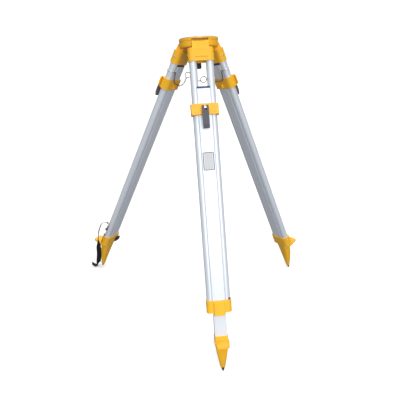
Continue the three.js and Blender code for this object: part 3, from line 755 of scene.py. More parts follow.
def cross_rod(radius, half, y, z, edge=0.0, sides=32):
    """A round rod along x, centred on (0, y, z)."""
    a = np.linspace(0, 2 * math.pi, sides, endpoint=False)
    circle = np.stack([np.cos(a), np.sin(a)], 1)
    return shell(upright(raised((circle * radius, circle), -half, half, edge)) + np.array([0.0, y, z]))


def deep_rod(radius, low, high, x, z, edge=0.0, sides=32):
    """A round rod along y from low to high, centred on (x, z)."""
    a = np.linspace(0, 2 * math.pi, sides, endpoint=False)
    circle = np.stack([np.cos(a), np.sin(a)], 1)
    return shell(upright(raised((circle * radius, circle), -high, -low, edge), "Y") + np.array([x, 0.0, z]))


def slab(width, depth, height, x, y, z, radius=0.5 * MM, edge=0.0):
    """An upright block with rounded vertical corners, centred on (x, y, z)."""
    rings = raised(box_outline(width, depth, radius, steps=3), -height / 2, height / 2, edge)
    return shell(rings + np.array([x, y, z]))


def dome(radius, height, place, steps=6, sides=24):
    """A low rivet head: r = radius*cos(t), z = height*sin(t) over a short straight foot."""
    t = np.linspace(0, math.pi / 2, steps + 1)
    outline = np.stack([radius * np.cos(t), height * np.sin(t)], 1)
    outline = np.concatenate([[[radius, -0.6 * MM]], outline])
    points, faces, uv, inward = shell(lathe(outline, sides))
    return at(place, points), faces, uv, inward


def screw_head(radius, height, place, sides=24):
    """A pan-head screw with a cross recess drawn as a dished middle."""
    outline = np.array(
        [
            [radius, -0.6 * MM], [radius, height * 0.45], [radius * 0.86, height * 0.85], [radius * 0.6,
                height],
            [radius * 0.42, height], [radius * 0.34, height * 0.35], [0, height * 0.3],
        ]
    )
    points, faces, uv, inward = shell(lathe(outline, sides))
    return at(place, points), faces, uv, inward


class TRIPOD_OT_finishes(bpy.types.Operator):
    """Make the shared effects and the finishes of every piece"""

    bl_idname = "tripod.finishes"
    bl_label = "Finishes"

    def execute(self, context):
        colours = context.scene.tripod_colours
        for make in (make_edge_wear, make_cast_grain, make_drawn_lines, make_webbing_weave):
            make()
        make_powder_coat(colours)
        make_drawn_aluminium(colours)
        make_machined_face(colours)
        make_webbing(colours)
        make_label(colours)
        make_metal("zinc_steel", (0.66, 0.67, 0.69), 0.22, 0.38)
        make_metal("dark_wire", (0.045, 0.046, 0.052), 0.35, 0.55, 0.5)
        make_metal("spring_wire", (0.75, 0.76, 0.78), 0.15, 0.3)
        make_metal("blackened_steel", (0.035, 0.035, 0.037), 0.35, 0.55, 0.6, 0.0001, 260.0)
        make_plastic("black_plastic", (0.018, 0.018, 0.02), 0.35, 0.5)
        make_plastic("lever_plastic", (0.010, 0.011, 0.017), 0.38, 0.52)
        make_plastic("blue_plastic", (0.022, 0.038, 0.105), 0.3, 0.45)
        carried = {
            "yellow_paint": "yellow_powder_coat", "anodised_aluminium": "drawn_aluminium",
            "steel": "zinc_steel",
            "chain_steel": "dark_wire", "black_steel": "blackened_steel", "black_plastic": "black_plastic",
            "lever_plastic": "lever_plastic", "blue_plastic": "blue_plastic", "webbing": "black_webbing",
        }
        for part in frame["record"]["subparts"]:
            mesh = frame["nodes"][part["node"]].data
            mesh.materials.clear()
            mesh.materials.append(bpy.data.materials[carried[part["material_slot"]]])
        return {"FINISHED"}


class TRIPOD_OT_stage(bpy.types.Operator):
    """Set the camera, the pale floor and soft light"""

    bl_idname = "tripod.stage"
    bl_label = "Stage"

    def execute(self, context):
        s = context.scene.tripod_stage
        scene = context.scene
        sin, cos = math.sin, math.cos
        ahead = np.array([sin(s.pan) * cos(s.pitch), cos(s.pan) * cos(s.pitch), -sin(s.pitch)])
        right = np.array([cos(s.pan), -sin(s.pan), 0.0])
        up = np.cross(right, ahead)
        side = right * cos(s.roll) + up * sin(s.roll)
        camera = bpy.data.objects.new("camera", bpy.data.cameras.new("camera"))
        camera.matrix_world = Matrix(placed(np.array(s.eye), side, -ahead).tolist())
        camera.data.lens, camera.data.sensor_width = s.lens, 36.0
        scene.collection.objects.link(camera)
        scene.camera = camera

        # floor: a flat round sheet, its rim at r*(cos a, sin a)
        a = np.linspace(0, 2 * math.pi, 96, endpoint=False)
        rim = np.stack([s.reach * np.cos(a), s.reach * np.sin(a), 0 * a], 1)
        mesh = bpy.data.meshes.new("floor")
        mesh.from_pydata(rim.tolist(), [], [list(range(len(rim)))])
        floor = bpy.data.objects.new("floor", mesh)
        tree, bsdf = material("pale_floor")
        seen = node(tree, "ShaderNodeLightPath").outputs["Is Camera Ray"]
        tree.links.new(blend_colour(tree, seen, tuple(s.bounce), tuple(s.floor)), bsdf.inputs["Base Color"])
        bsdf.inputs["Roughness"].default_value = 0.9
        bsdf.inputs["Specular IOR Level"].default_value = 0.0
        mesh.materials.append(bpy.data.materials["pale_floor"])
        scene.collection.objects.link(floor)

        world = bpy.data.worlds.new("soft room")
        world.use_nodes = True
        tree = world.node_tree
        seen = node(tree, "ShaderNodeLightPath").outputs["Is Camera Ray"]
        tree.nodes["Background"].inputs["Color"].default_value = (1.0, 1.0, 1.0, 1.0)
        tree.links.new(between(tree, seen, 0.16, 1.0), tree.nodes["Background"].inputs["Strength"])
        scene.world = world
        scene.view_settings.view_transform = "Standard"
        lights = (
            ("key", (0.5, -2.7, 1.9), 1.6, 52.0, 0.4), ("fill", (-2.4, -1.4, 1.8), 1.4, 5.0, 0.5),
            ("back", (1.2, 3.0, 2.2), 2.0, 30.0, 0.5),
        )
        for name, spot, size, power, height in lights:
            lamp = bpy.data.lights.new(name, "AREA")
            lamp.size, lamp.energy = size, power
            obj = bpy.data.objects.new(name, lamp)
            towards = np.array(spot) - np.array([0.0, 0.0, height])
            obj.matrix_world = Matrix(placed(spot, (1.0, 0.0, 0.0), towards).tolist())
            scene.collection.objects.link(obj)
        sky = bpy.data.lights.new("over", "SUN")
        sky.energy, sky.angle = s.daylight, math.radians(100)
        scene.collection.objects.link(bpy.data.objects.new("over", sky))
        return {"FINISHED"}


class TRIPOD_OT_head(bpy.types.Operator):
    """Build the head casting with its three slots and machined face"""

    bl_idname = "tripod.head"
    bl_label = "Head"

    def execute(self, context):
        s = context.scene.tripod_head
        r, top, foot = s.radius, s.top, -s.foot
        groove, bare = 13 * MM, 1.7 * MM
        corners = [
            (s.opening, foot), (r - 4 * MM, foot), (r - 1.6 * MM, foot + 3 * MM), (r - 1.2 * MM,
                groove - 1 * MM),
            (r - 2.4 * MM, groove), (r - 0.4 * MM, groove + 1 * MM), (r, top - bare), (r - 0.5 * MM,
                top - bare),
            (r - 0.5 * MM, top - 0.9 * MM), (r - 1.4 * MM, top), (s.opening + 1.2 * MM, top),
            (s.opening, top - 1.2 * MM),
        ]
        radii = np.array([0.8, 2.5, 1.5, 0.3, 0.3, 0.4, 0.2, 0.1, 0.4, 0.4, 0.4, 0.5]) * MM
        outline, _ = fillet(corners, radii, 3)
        casting = shell(lathe(outline, 144), loop=True)
        inner = s.pivot_radius - 14 * MM
        depth, height = r + 5 * MM - inner, s.slot_roof - foot + 5 * MM
        cuts = []
        for leg in range(3):
            turn = turned(np.eye(4), leg * 2 * math.pi / 3)
            slot = slab(s.slot_width, depth, height, 0, -inner - depth / 2, s.slot_roof - height / 2,
                1.2 * MM)
            cuts.append((at(turn, slot[0]), *slot[1:]))
        cuts.append(rod(PIN_RADIUS + GAP, foot - 1 * MM, 6 * MM, 0, ARM_SHIFT, sides=24))
        mesh = carved("head_casting", [casting], cuts)
        obj = piece(
            "head_casting", mesh, HEAD, "head", "yellow_paint", "yellow_powder_coat", ["head_plate"],
            0.7 * MM, 38
        )
        obj.data.materials.append(bpy.data.materials["machined_face"])
        centres = np.empty(3 * len(obj.data.polygons))
        obj.data.polygons.foreach_get("center", centres)
        z = (centres.reshape(-1, 3) - HEAD_CENTRE) @ HEAD_AXIS
        obj.data.polygons.foreach_set("material_index", (z > top - bare + 0.1 * MM).astype(np.int32))
        return {"FINISHED"}


class TRIPOD_OT_fixing_screw(bpy.types.Operator):
    """Build the swing arm, bush, washer, threaded screw and fluted knob"""

    bl_idname = "tripod.fixing_screw"
    bl_label = "Fixing screw"

    def execute(self, context):
        under = -(context.scene.tripod_head.foot + GAP)
        plate = 3 * MM
        # arm: a long round-ended plate with a slot
        width, reach = 26 * MM, 77 * MM
        w, far = width / 2, width / 2 - reach
        outline = fillet([(w, far - w), (w, w), (-w, w), (-w, far - w)], w * 0.999, 14)
        arm = shell(raised(outline, under - plate, under))
        sw = 6.5 * MM
        slot = fillet([(sw, far - sw), (sw, sw - 36 * MM), (-sw, sw - 36 * MM), (-sw, far - sw)],
            sw * 0.999, 10)
        holes = [shell(raised(slot, under - 2 * plate, under + plate)), rod(PIN_RADIUS + GAP,
            under - 9 * MM, 0)]
        arm = carved("swing_arm_plate", [arm], holes)
        piece("swing_arm_plate", arm, ARM, "swing_arm", "steel", "zinc_steel", ["screw_arm"], 0.5 * MM)

        # pivot bolt with a hexagonal head
        a = np.arange(6) * math.pi / 3
        hexagon = fillet(np.stack([np.cos(a), np.sin(a)], 1) * 6 * MM, 0.5 * MM, 2)
        head = shell(raised(hexagon, under - plate - 4.3 * MM, under - plate - GAP, 0.5 * MM, 3))
        bolt = [head, rod(PIN_RADIUS, under - plate - 1 * MM, 5.5 * MM, edge=0.5 * MM)]
        piece("pivot_bolt", bolt, ARM, "head", "steel", "zinc_steel", ["arm_pivot_bolt"])

        bush_top = under + 1.5 * MM
        flange = under - plate - GAP
        guide = 5.9 * MM
        bore = STEM_RADIUS + GAP
        outline, _ = fillet(
            [(bore, flange - plate), (12 * MM, flange - plate), (12 * MM, flange), (guide, flange),
             (guide, bush_top), (bore, bush_top)], 0.35 * MM, 3)
        piece("sliding_bush", [shell(lathe(outline, 64), loop=True)], SCREW, "bush", "steel", "zinc_steel",
              ["screw_bush"])
        washer_top = flange - plate - 12 * MM - GAP
        outline, _ = fillet(
            [(bore, washer_top - 2 * MM), (10.5 * MM, washer_top - 2 * MM), (10.5 * MM, washer_top),
             (bore, washer_top)], 0.35 * MM, 3)
        piece("lift_washer_ring", [shell(lathe(outline, 64), loop=True)], SCREW, "lift_washer", "steel",
              "zinc_steel", ["screw_washer"])

        # screw: r = R - depth*|saw(z/pitch - a/2pi)| on the thread, plain on its stem
        low, high = bush_top + GAP, 23.5 * MM
        pitch, depth, radius = 2.31 * MM, 1.25 * MM, 7.9 * MM
        rows = int((high - low) / pitch * 12)
        z = np.linspace(low, high, rows)[:, None]
        a = np.linspace(0, 2 * math.pi, 48, endpoint=False)[None]
        saw = np.abs(((z / pitch - a / (2 * math.pi)) % 1.0) * 2 - 1)
        fade = np.clip(np.minimum(z - low, high - z) / (1.6 * MM), 0, 1)
        r = radius - depth * (1 - fade * (1 - saw))
        thread = np.stack([r * np.cos(a), r * np.sin(a), np.broadcast_to(z, r.shape)], -1)
        neck = rod(8 * MM, -45.7 * MM, washer_top - 2.3 * MM, edge=0.6 * MM)
        stem = rod(STEM_RADIUS, -60 * MM, bush_top + 3 * MM, sides=32)
        piece("threaded_screw", [shell(thread), neck, stem], SCREW, "screw", "steel", "zinc_steel",
              ["fixing_screw"], sharp=50)

        # knob: fluted drum, r(a) dips by a soft scallop eight times round
        turn = np.linspace(0, 2 * math.pi, 192, endpoint=False)
        dip = np.clip(-np.cos(8 * turn), 0, 1) ** 1.5
        top, low = -46 * MM, -76 * MM
        drum, _ = fillet(
            [(0, low), (12.6 * MM, low), (15 * MM, low + 2.4 * MM), (15 * MM, top - 4 * MM), (9.6 * MM, top),
             (0, top)], [0, 1.2 * MM, 1.5 * MM, 1.8 * MM, 1 * MM, 0], 4)
        share = np.clip((drum[:, 0] - 8 * MM) / (6 * MM), 0, 1)
        r = drum[:, :1] - share[:, None] * 1.9 * MM * dip[None]
        knob = np.stack([r * np.cos(turn), r * np.sin(turn), np.broadcast_to(drum[:, 1:], r.shape)], -1)
        piece("fluted_knob", [shell(knob)], SCREW, "screw", "black_plastic", "black_plastic", ["screw_knob"],
              sharp=60)
        return {"FINISHED"}


class TRIPOD_OT_leg_heads(bpy.types.Operator):
    """Build each leg's head block with its neck, rail sockets, pin and rivets"""

    bl_idname = "tripod.leg_heads"
    bl_label = "Leg heads"

    def execute(self, context):
        s, head = context.scene.tripod_leg, context.scene.tripod_head
        depth, top, low = s.block_depth / 2, -14.3 * MM, -57.5 * MM
        neck_r, drop = 13 * MM, 10 * MM
        side = fillet(
            [(depth, top - 2 * MM), (depth, top), (neck_r, -drop), (neck_r, neck_r), (-neck_r, neck_r),
             (-neck_r, -drop), (-depth, top), (-depth, top - 2 * MM)],
            np.array([0.1, 1.5, 2.5, 12.9, 12.9, 2.5, 1.5, 0.1]) * MM, 8)
        half = head.slot_width / 2 - RUN
        neck = shell(upright(raised(side, -half, half)))
        shoulder = shell(raised(box_outline(s.block_width, s.block_depth, 15 * MM, steps=12), low, top))
        panel = slab(40 * MM, 5 * MM, 11 * MM, 0, -depth, low + 8.5 * MM, 1 * MM)
        recess = slab(22 * MM, s.block_depth - 8 * MM, 14 * MM, 0, 0, low + 5 * MM, 3 * MM)
        eye = cross_rod(PIN_RADIUS + GAP, head.slot_width, 0, 0, sides=24)
        sockets = [
            rod(s.rail_radius + GAP, low - 1 * MM, -37.7 * MM, k * s.rail_shift, sides=72) for k in (-1, 1)
        ]
        mesh = carved("leg_head", [shoulder, neck], [recess, panel, eye, *sockets])
        rivet_z = -35 * MM
        for leg in LEG_NAMES:
            place, body = leg_place(leg), f"upper_leg_{leg}"
            piece(f"leg_head_{leg}", mesh, place, body, "yellow_paint", "yellow_powder_coat",
                  [f"leg_block_{leg}"], 1.1 * MM, 38)
            rivets = []
            for k in (-1, 1):
                spot = moved(turned(np.eye(4), k * math.pi / 2, "Y"), z=s.block_width / 2)
                spot[:3, 3] += (0, 0, rivet_z)
                rivets.append(dome(3.4 * MM, 1.6 * MM, spot))
            piece(f"rail_rivets_{leg}", rivets, place, body, "steel", "zinc_steel")
            pin = cross_rod(PIN_RADIUS, 30 * MM, 0, 0, edge=0.4 * MM)
            piece(f"leg_pin_{leg}", [pin], place, "head", "steel", "zinc_steel", [f"hinge_pin_{leg}"])
        return {"FINISHED"}


class TRIPOD_OT_rails(bpy.types.Operator):
    """Build the rail tubes, the cupped inner bars, their end caps and the blank label"""

    bl_idname = "tripod.rails"
    bl_label = "Rails and bars"

    def execute(self, context):
        s = context.scene.tripod_leg
        rail_low = -(s.collar_top + SOCKET_DEPTH - GAP)
        for leg in LEG_NAMES:
            upper, lower = leg_place(leg), lower_place(leg)
            for letter, k in (("a", -1), ("b", 1)):
                tube = rod(s.rail_radius, rail_low, -38 * MM, k * s.rail_shift, edge=0.5 * MM, sides=72)
                piece(f"rail_tube_{letter}_{leg}", [tube], upper, f"upper_leg_{leg}", "anodised_aluminium",
                      "drawn_aluminium", [f"rail_{letter}_{leg}"])
            cup = s.rail_radius + RUN
            outline = bar_outline(s.bar_width, s.bar_depth, cup, s.rail_shift)
            bar = shell(raised(outline, -(s.shoe_top + 16 * MM), -66 * MM))
            piece(f"cupped_bar_{leg}", [bar], lower, f"lower_leg_{leg}", "anodised_aluminium",
                "drawn_aluminium",
                  [f"inner_bar_{leg}"], sharp=30)
            ribs = [
                slab(1.1 * MM, 0.7 * MM, s.shoe_top - 67 * MM, x, y, -(s.shoe_top + 67 * MM) / 2, 0.3 * MM)
                for x in (-15 * MM, 15 * MM) for y in (-s.bar_depth / 2, s.bar_depth / 2)
            ]
            piece(f"bar_ribs_{leg}", ribs, lower, f"lower_leg_{leg}", "anodised_aluminium", "drawn_aluminium")
            cap_outline = bar_outline(s.bar_width + 0.4 * MM, s.bar_depth + 0.4 * MM, cup - 0.2 * MM,
                s.rail_shift)
            cap = shell(raised(cap_outline, -65.7 * MM, -59.2 * MM, 1.0 * MM, 3))
            boss = slab(14 * MM, 17 * MM, 1.6 * MM, 0, 0, -58.9 * MM, 2 * MM, 0.5 * MM)
            piece(f"end_cap_{leg}", [cap, boss], lower, f"lower_leg_{leg}", "blue_plastic", "blue_plastic",
                  [f"bar_cap_{leg}"], sharp=30)
        face = -s.bar_depth / 2
        film = box_outline(33 * MM, 56 * MM, 2.5 * MM, steps=5)
        label = shell(upright(raised(film, 0, 0.4 * MM, 0.1 * MM, 2), "Y"))
        label = (label[0] + np.array([0, face + 0.1 * MM, -LABEL_DROP]), *label[1:])
        rim = box_outline(38 * MM, 61 * MM, 4 * MM, steps=5)
        rim = shell(upright(raised(rim, 0, 0.25 * MM, 0.1 * MM, 2), "Y"))
        rim = (rim[0] + np.array([0, face + 0.1 * MM, -LABEL_DROP]), *rim[1:])
        piece("label_backing", [rim], lower_place("front"), "lower_leg_front", None, "lever_plastic",
            sharp=30)
        piece("blank_label", [label], lower_place("front"), "lower_leg_front", None, "label_film", sharp=30)
        return {"FINISHED"}


class TRIPOD_OT_collars(bpy.types.Operator):
    """Build the casting at the bottom of each pair of rails"""

    bl_idname = "tripod.collars"
    bl_label = "Collars"

    def execute(self, context):
        s = context.scene.tripod_leg
        top, low = -s.collar_top, -s.collar_top - COLLAR_HEIGHT
        width, depth, boss_out, boss_drop = 87.5 * MM, 37 * MM, 24.5 * MM, 8 * MM
        skin = 17.5 * MM + RUN
        body = shell(raised(box_outline(width, depth, 14 * MM, steps=10), low, top))
        height = COLLAR_HEIGHT - 4 * MM + boss_drop
        boss = slab(37 * MM, boss_out - skin, height, 0, -(boss_out + skin) / 2, low - boss_drop + height / 2,
                    1.5 * MM)
        sockets = [
            rod(s.rail_radius + GAP, top - SOCKET_DEPTH, top + 1 * MM, k * s.rail_shift,
                sides=72) for k in (-1, 1)
        ]
        passage = bar_outline(s.bar_width + 2 * RUN, s.bar_depth + 2 * RUN, s.rail_radius, s.rail_shift)
        passage = shell(raised(passage, low - boss_drop - 1 * MM, top + 1 * MM))
        mesh = carved("collar", [body, boss], [*sockets, passage])
        for leg in LEG_NAMES:
            place = leg_place(leg)
            piece(f"rail_collar_{leg}", mesh, place, f"upper_leg_{leg}", "yellow_paint", "yellow_powder_coat",
                  [f"collar_{leg}"], 1.0 * MM, 38)
            rivets = []
            for k in (-1, 1):
                spot = moved(turned(np.eye(4), k * math.pi / 2, "Y"), z=width / 2)
                spot[:3, 3] += (0, 0, top - 15 * MM)
                rivets.append(dome(3.2 * MM, 1.4 * MM, spot))
            piece(f"collar_rivets_{leg}", rivets, place, f"upper_leg_{leg}", "steel", "zinc_steel")
            tab = slab(6 * MM, 5 * MM, 8 * MM, 37 * MM, 7 * MM - depth / 2, top + 2 * MM, 1.2 * MM, 0.8 * MM)
            piece(f"collar_catch_{leg}", [tab], place, f"upper_leg_{leg}", "black_plastic", "black_plastic")
        return {"FINISHED"}


class TRIPOD_OT_clamps(bpy.types.Operator):
    """Build each cam clamp: body, pressure plate, screws, bolt, pin and lever"""

    bl_idname = "tripod.clamps"
    bl_label = "Cam clamps"

    def execute(self, context):
        s = context.scene.tripod_leg
        top, low = -s.clamp_top, -s.clamp_top - s.clamp_height
        cam_z = top - CAM_DROP
        body = shell(raised(box_outline(CLAMP_WIDTH, CLAMP_DEPTH, 14 * MM, steps=10), low, top))
        lug = slab(16 * MM, 8 * MM, 14 * MM, 0, CLAMP_DEPTH / 2 + 3 * MM, low + 12 * MM, 2 * MM)
        holes = [
            rod(s.rail_radius + RUN, low - 1 * MM, top + 1 * MM, k * s.rail_shift, sides=72) for k in (-1, 1)
        ]
        passage = bar_outline(s.bar_width + 2 * GAP, s.bar_depth + 2 * GAP, s.rail_radius + GAP, s.rail_shift)
        holes.append(shell(raised(passage, low - 1 * MM, top + 1 * MM)))
        holes.append(deep_rod(3.3 * MM, -CLAMP_DEPTH / 2 - 5 * MM, -CLAMP_DEPTH / 2 + 5 * MM, 0, cam_z))
        clamp = carved("clamp_casting", [body, lug], holes)

        front = -CLAMP_DEPTH / 2 - GAP - PLATE_DEPTH
        outline = box_outline(92 * MM, s.clamp_height - 2 * MM, 6 * MM, steps=6)
        plate = shell(
            upright(raised(outline, -PLATE_DEPTH / 2, PLATE_DEPTH / 2), "Y")
            + np.array([0, front + PLATE_DEPTH / 2, (top + low) / 2])
        )
        seat = [deep_rod(3.3 * MM, front - 8 * MM, front + 8 * MM, 0, cam_z)]
        plate = carved("pressure_plate", [plate], seat)

        w, reach = 21 * MM, s.lever_length
        r = CAM_RADIUS
        grip = fillet(
            [(r, -8 * MM), (r, r), (-r, r), (-r, -6 * MM), (-9.2 * MM, -26 * MM), (-9.6 * MM,
                14 * MM - reach),
             (-5.4 * MM, -reach), (0.4 * MM, -reach), (1.6 * MM, 6 * MM - reach), (1 * MM, -26 * MM)],
            np.array([4, 7.9, 7.9, 5, 30, 9, 2.5, 2.2, 8, 12]) * MM, 8)
        lever = shell(upright(raised(grip, -w / 2, w / 2)))
        fork = slab(9 * MM, 30 * MM, 27 * MM, 0, 0, 3 * MM, 1 * MM)
        eye = cross_rod(2.8 * MM, w, 0, 0, sides=24)
        hollow = slab(15 * MM, 8 * MM, reach - 34 * MM, 0, 4.5 * MM, -(reach + 18 * MM) / 2, 2 * MM)
        lever = carved("cam_lever", [lever], [fork, eye, hollow])

        bolt = [
            deep_rod(3 * MM, CAM_Y, -CLAMP_DEPTH / 2 + 2.2 * MM, 0, cam_z, 0.3 * MM),
            cross_rod(6 * MM, 3.8 * MM, CAM_Y, cam_z, 0.8 * MM, 40),
        ]
        pin = [cross_rod(2.5 * MM, w / 2 - 0.5 * MM, CAM_Y, cam_z, 0.4 * MM)]
        screws = []
        for x in (-33 * MM, 33 * MM):
            for drop in (11 * MM, 27 * MM):
                spot = placed((x, front, top - drop), (1, 0, 0), (0, -1, 0))
                screws.append(screw_head(3.1 * MM, 1.3 * MM, spot))
        for leg in LEG_NAMES:
            place, rides = lower_place(leg), f"lower_leg_{leg}"
            paint = ("yellow_paint", "yellow_powder_coat")
            piece(f"clamp_casting_{leg}", clamp, place, rides, *paint, [f"clamp_body_{leg}"], 1.0 * MM, 38)
            piece(f"pressure_plate_{leg}", plate, place, rides, *paint, [f"clamp_plate_{leg}"], 1.2 * MM, 38)
            piece(f"plate_screws_{leg}", screws, place, rides, *paint, sharp=30)
            piece(f"eye_bolt_{leg}", bolt, place, rides, "steel", "zinc_steel", [f"tension_bolt_{leg}"])
            piece(f"cam_pin_{leg}", pin, place, rides, "steel", "zinc_steel", [f"lever_pin_{leg}"])
            piece(f"cam_lever_{leg}", lever, moved(place, y=CAM_Y, z=cam_z), f"lever_{leg}", "lever_plastic",
                  "lever_plastic", [f"clamp_lever_{leg}"], 0.9 * MM, 38)
        return {"FINISHED"}


def shoe_rings(rows=36, count=72):
    """Rings of the shoe's tapered shell, from its point up to its sleeve.

    Each is |x/a|^p + |y/b|^p = 1 round the inset centre line; a, b, the inset and the power p
    change smoothly with height through the five stated sections.
    """
    z = np.array([-1035, -1002, -966, -937, -911]) * MM
    a = np.array([8.5, 14.5, 20.5, 23.5, 24]) * MM
    b = np.array([6.5, 13, 16.5, 17, 17.5]) * MM
    inset = np.array([15.9, 7.95, 2.07, 0, 0]) * MM
    power = np.array([2, 2.6, 3.6, 5, 6])
    level = np.linspace(z[0], z[-1], rows)
    a, b, inset, power = (np.interp(level, z, v)[:, None] for v in (a, b, inset, power))
    t = np.linspace(0, 2 * math.pi, count, endpoint=False)[None]
    c, s = np.cos(t), np.sin(t)
    x = np.sign(c) * np.abs(c) ** (2 / power) * a
    y = np.sign(s) * np.abs(s) ** (2 / power) * b + inset
    return np.stack([x, y, np.broadcast_to(level[:, None], x.shape)], -1)


class TRIPOD_OT_shoes(bpy.types.Operator):
    """Build each shoe with its foot step, web and rivets, and its hardened point"""

    bl_idname = "tripod.shoes"
    bl_label = "Shoes and points"

    def execute(self, context):
        s = context.scene.tripod_leg
        top = -s.shoe_top
        step_top = top - 18 * MM
        step_low = step_top - 8 * MM
        out, half, tip_half = 60 * MM, 25.5 * MM, 21.8 * MM
        tread = fillet(
            [(tip_half, -out), (half, -half), (half, 0), (-half, 0), (-half, -half), (-tip_half, -out)],
            np.array([6, 6, 0.5, 0.5, 6, 6]) * MM, 8)
        step = shell(raised(tread, step_low, step_top))
        web = fillet([(0, step_low + 1 * MM), (28 * MM - out, step_low + 1 * MM), (0, step_low - 24 * MM)],
                     np.array([0.1, 1, 0.1]) * MM, 3)
        web = shell(upright(raised((web[0][::-1], web[1][::-1]), -4 * MM, 4 * MM)))
        socket = bar_outline(s.bar_width + 2 * GAP, s.bar_depth + 2 * GAP, s.rail_radius + GAP, s.rail_shift)
        socket = shell(raised(socket, step_top + 3 * MM, top + 1 * MM))
        bore = rod(4.3 * MM, -1036 * MM, -1020 * MM, 0, 15.9 * MM, sides=32)
        mesh = carved("shoe_casting", [shell(shoe_rings()), step, web], [socket, bore])
        face = slab(39 * MM, 37.5 * MM, 2 * MM, 0, -38.75 * MM, step_top, 4 * MM, 0.4 * MM)
        ribs = [slab(31 * MM, 1.8 * MM, 1.2 * MM, 0, -y * MM, step_top + 1 * MM, 0.8 * MM, 0.3 * MM)
                for y in (26, 32.5, 39, 45.5, 52)]
        t = np.linspace(math.radians(10), math.radians(90), 6)
        ball = np.stack([2 * MM * np.cos(t), -1048 * MM - 2 * MM * np.sin(t)], 1)
        rim, base = 6 * MM, -1035.3 * MM
        tip = np.concatenate([[(0, base), (rim - 0.5 * MM, base), (rim, base - 0.5 * MM), (rim,
            base - 3 * MM)],
                              [(5.4 * MM, base - 4.5 * MM)], ball])
        tip[-1, 0] = 0
        shank = rod(4 * MM, -1041 * MM, -1021 * MM, sides=32)
        for leg in LEG_NAMES:
            place, rides = lower_place(leg), f"lower_leg_{leg}"
            piece(f"shoe_casting_{leg}", mesh, place, rides, "yellow_paint", "yellow_powder_coat",
                [f"shoe_{leg}"],
                  1.0 * MM, 42)
            piece(f"step_tread_{leg}", [face, *ribs], place, rides, "yellow_paint", "yellow_powder_coat",
                sharp=30)
            rivets = []
            for k in (-1, 1):
                spot = moved(turned(np.eye(4), k * math.pi / 2, "Y"), z=23.7 * MM)
                spot[:3, 3] += (0, 6.5 * MM, -925 * MM)
                rivets.append(dome(4.0 * MM, 1.6 * MM, spot))
            piece(f"shoe_rivets_{leg}", rivets, place, rides, "steel", "zinc_steel")
            point = [shell(lathe(tip, 40)), shank]
            point = [(p[0] + np.array([0, 15.9 * MM, 0]), *p[1:]) for p in point]
            piece(f"steel_point_{leg}", point, place, rides, "black_steel", "blackened_steel",
                [f"spike_{leg}"])
        return {"FINISHED"}


def chain(path, link, wire):
    """A run of links along a path, each second one turned by a quarter.

    A link is a loop whose middle line is a long oval, with a round section of the wire.
    """
    run = np.linalg.norm(np.diff(path, axis=0), axis=1).sum()
    pitch = link - 3.2 * wire
    count = max(2, round(run / pitch))
    places = curve_through(path, count)
    along, across, through = axes_along(places, (0.13, 0.95, 0.29))
    turn = (np.arange(count) % 2 * (math.pi / 2) + math.pi / 4)[:, None]
    side = across * np.cos(turn) + through * np.sin(turn)
    face = np.cross(along, side)
    t = np.linspace(0, 2 * math.pi, 16, endpoint=False)[:, None]
    a = np.linspace(0, 2 * math.pi, 6, endpoint=False)[None]
    long, short = link / 2 - wire, link * 0.36 - wire
    middle = np.stack([np.sign(np.cos(t)) * np.abs(np.cos(t)) ** 0.8 * long, np.sin(t) * short], -1)
    out = np.stack([np.cos(t) / long, np.sin(t) / short], -1)
    out /= np.linalg.norm(out, axis=-1, keepdims=True)
    flat = middle + wire * np.cos(a)[..., None] * out
    height = np.broadcast_to(wire * np.sin(a), (16, 6))
    shape = np.stack([flat[..., 0], flat[..., 1], height], -1)
    axes = np.stack([along, side, face], 1)
    loops = np.einsum("rsk,nkx->nrsx", shape, axes) + places[:, None, None]
    return [shell(loop, loop=True) for loop in loops]


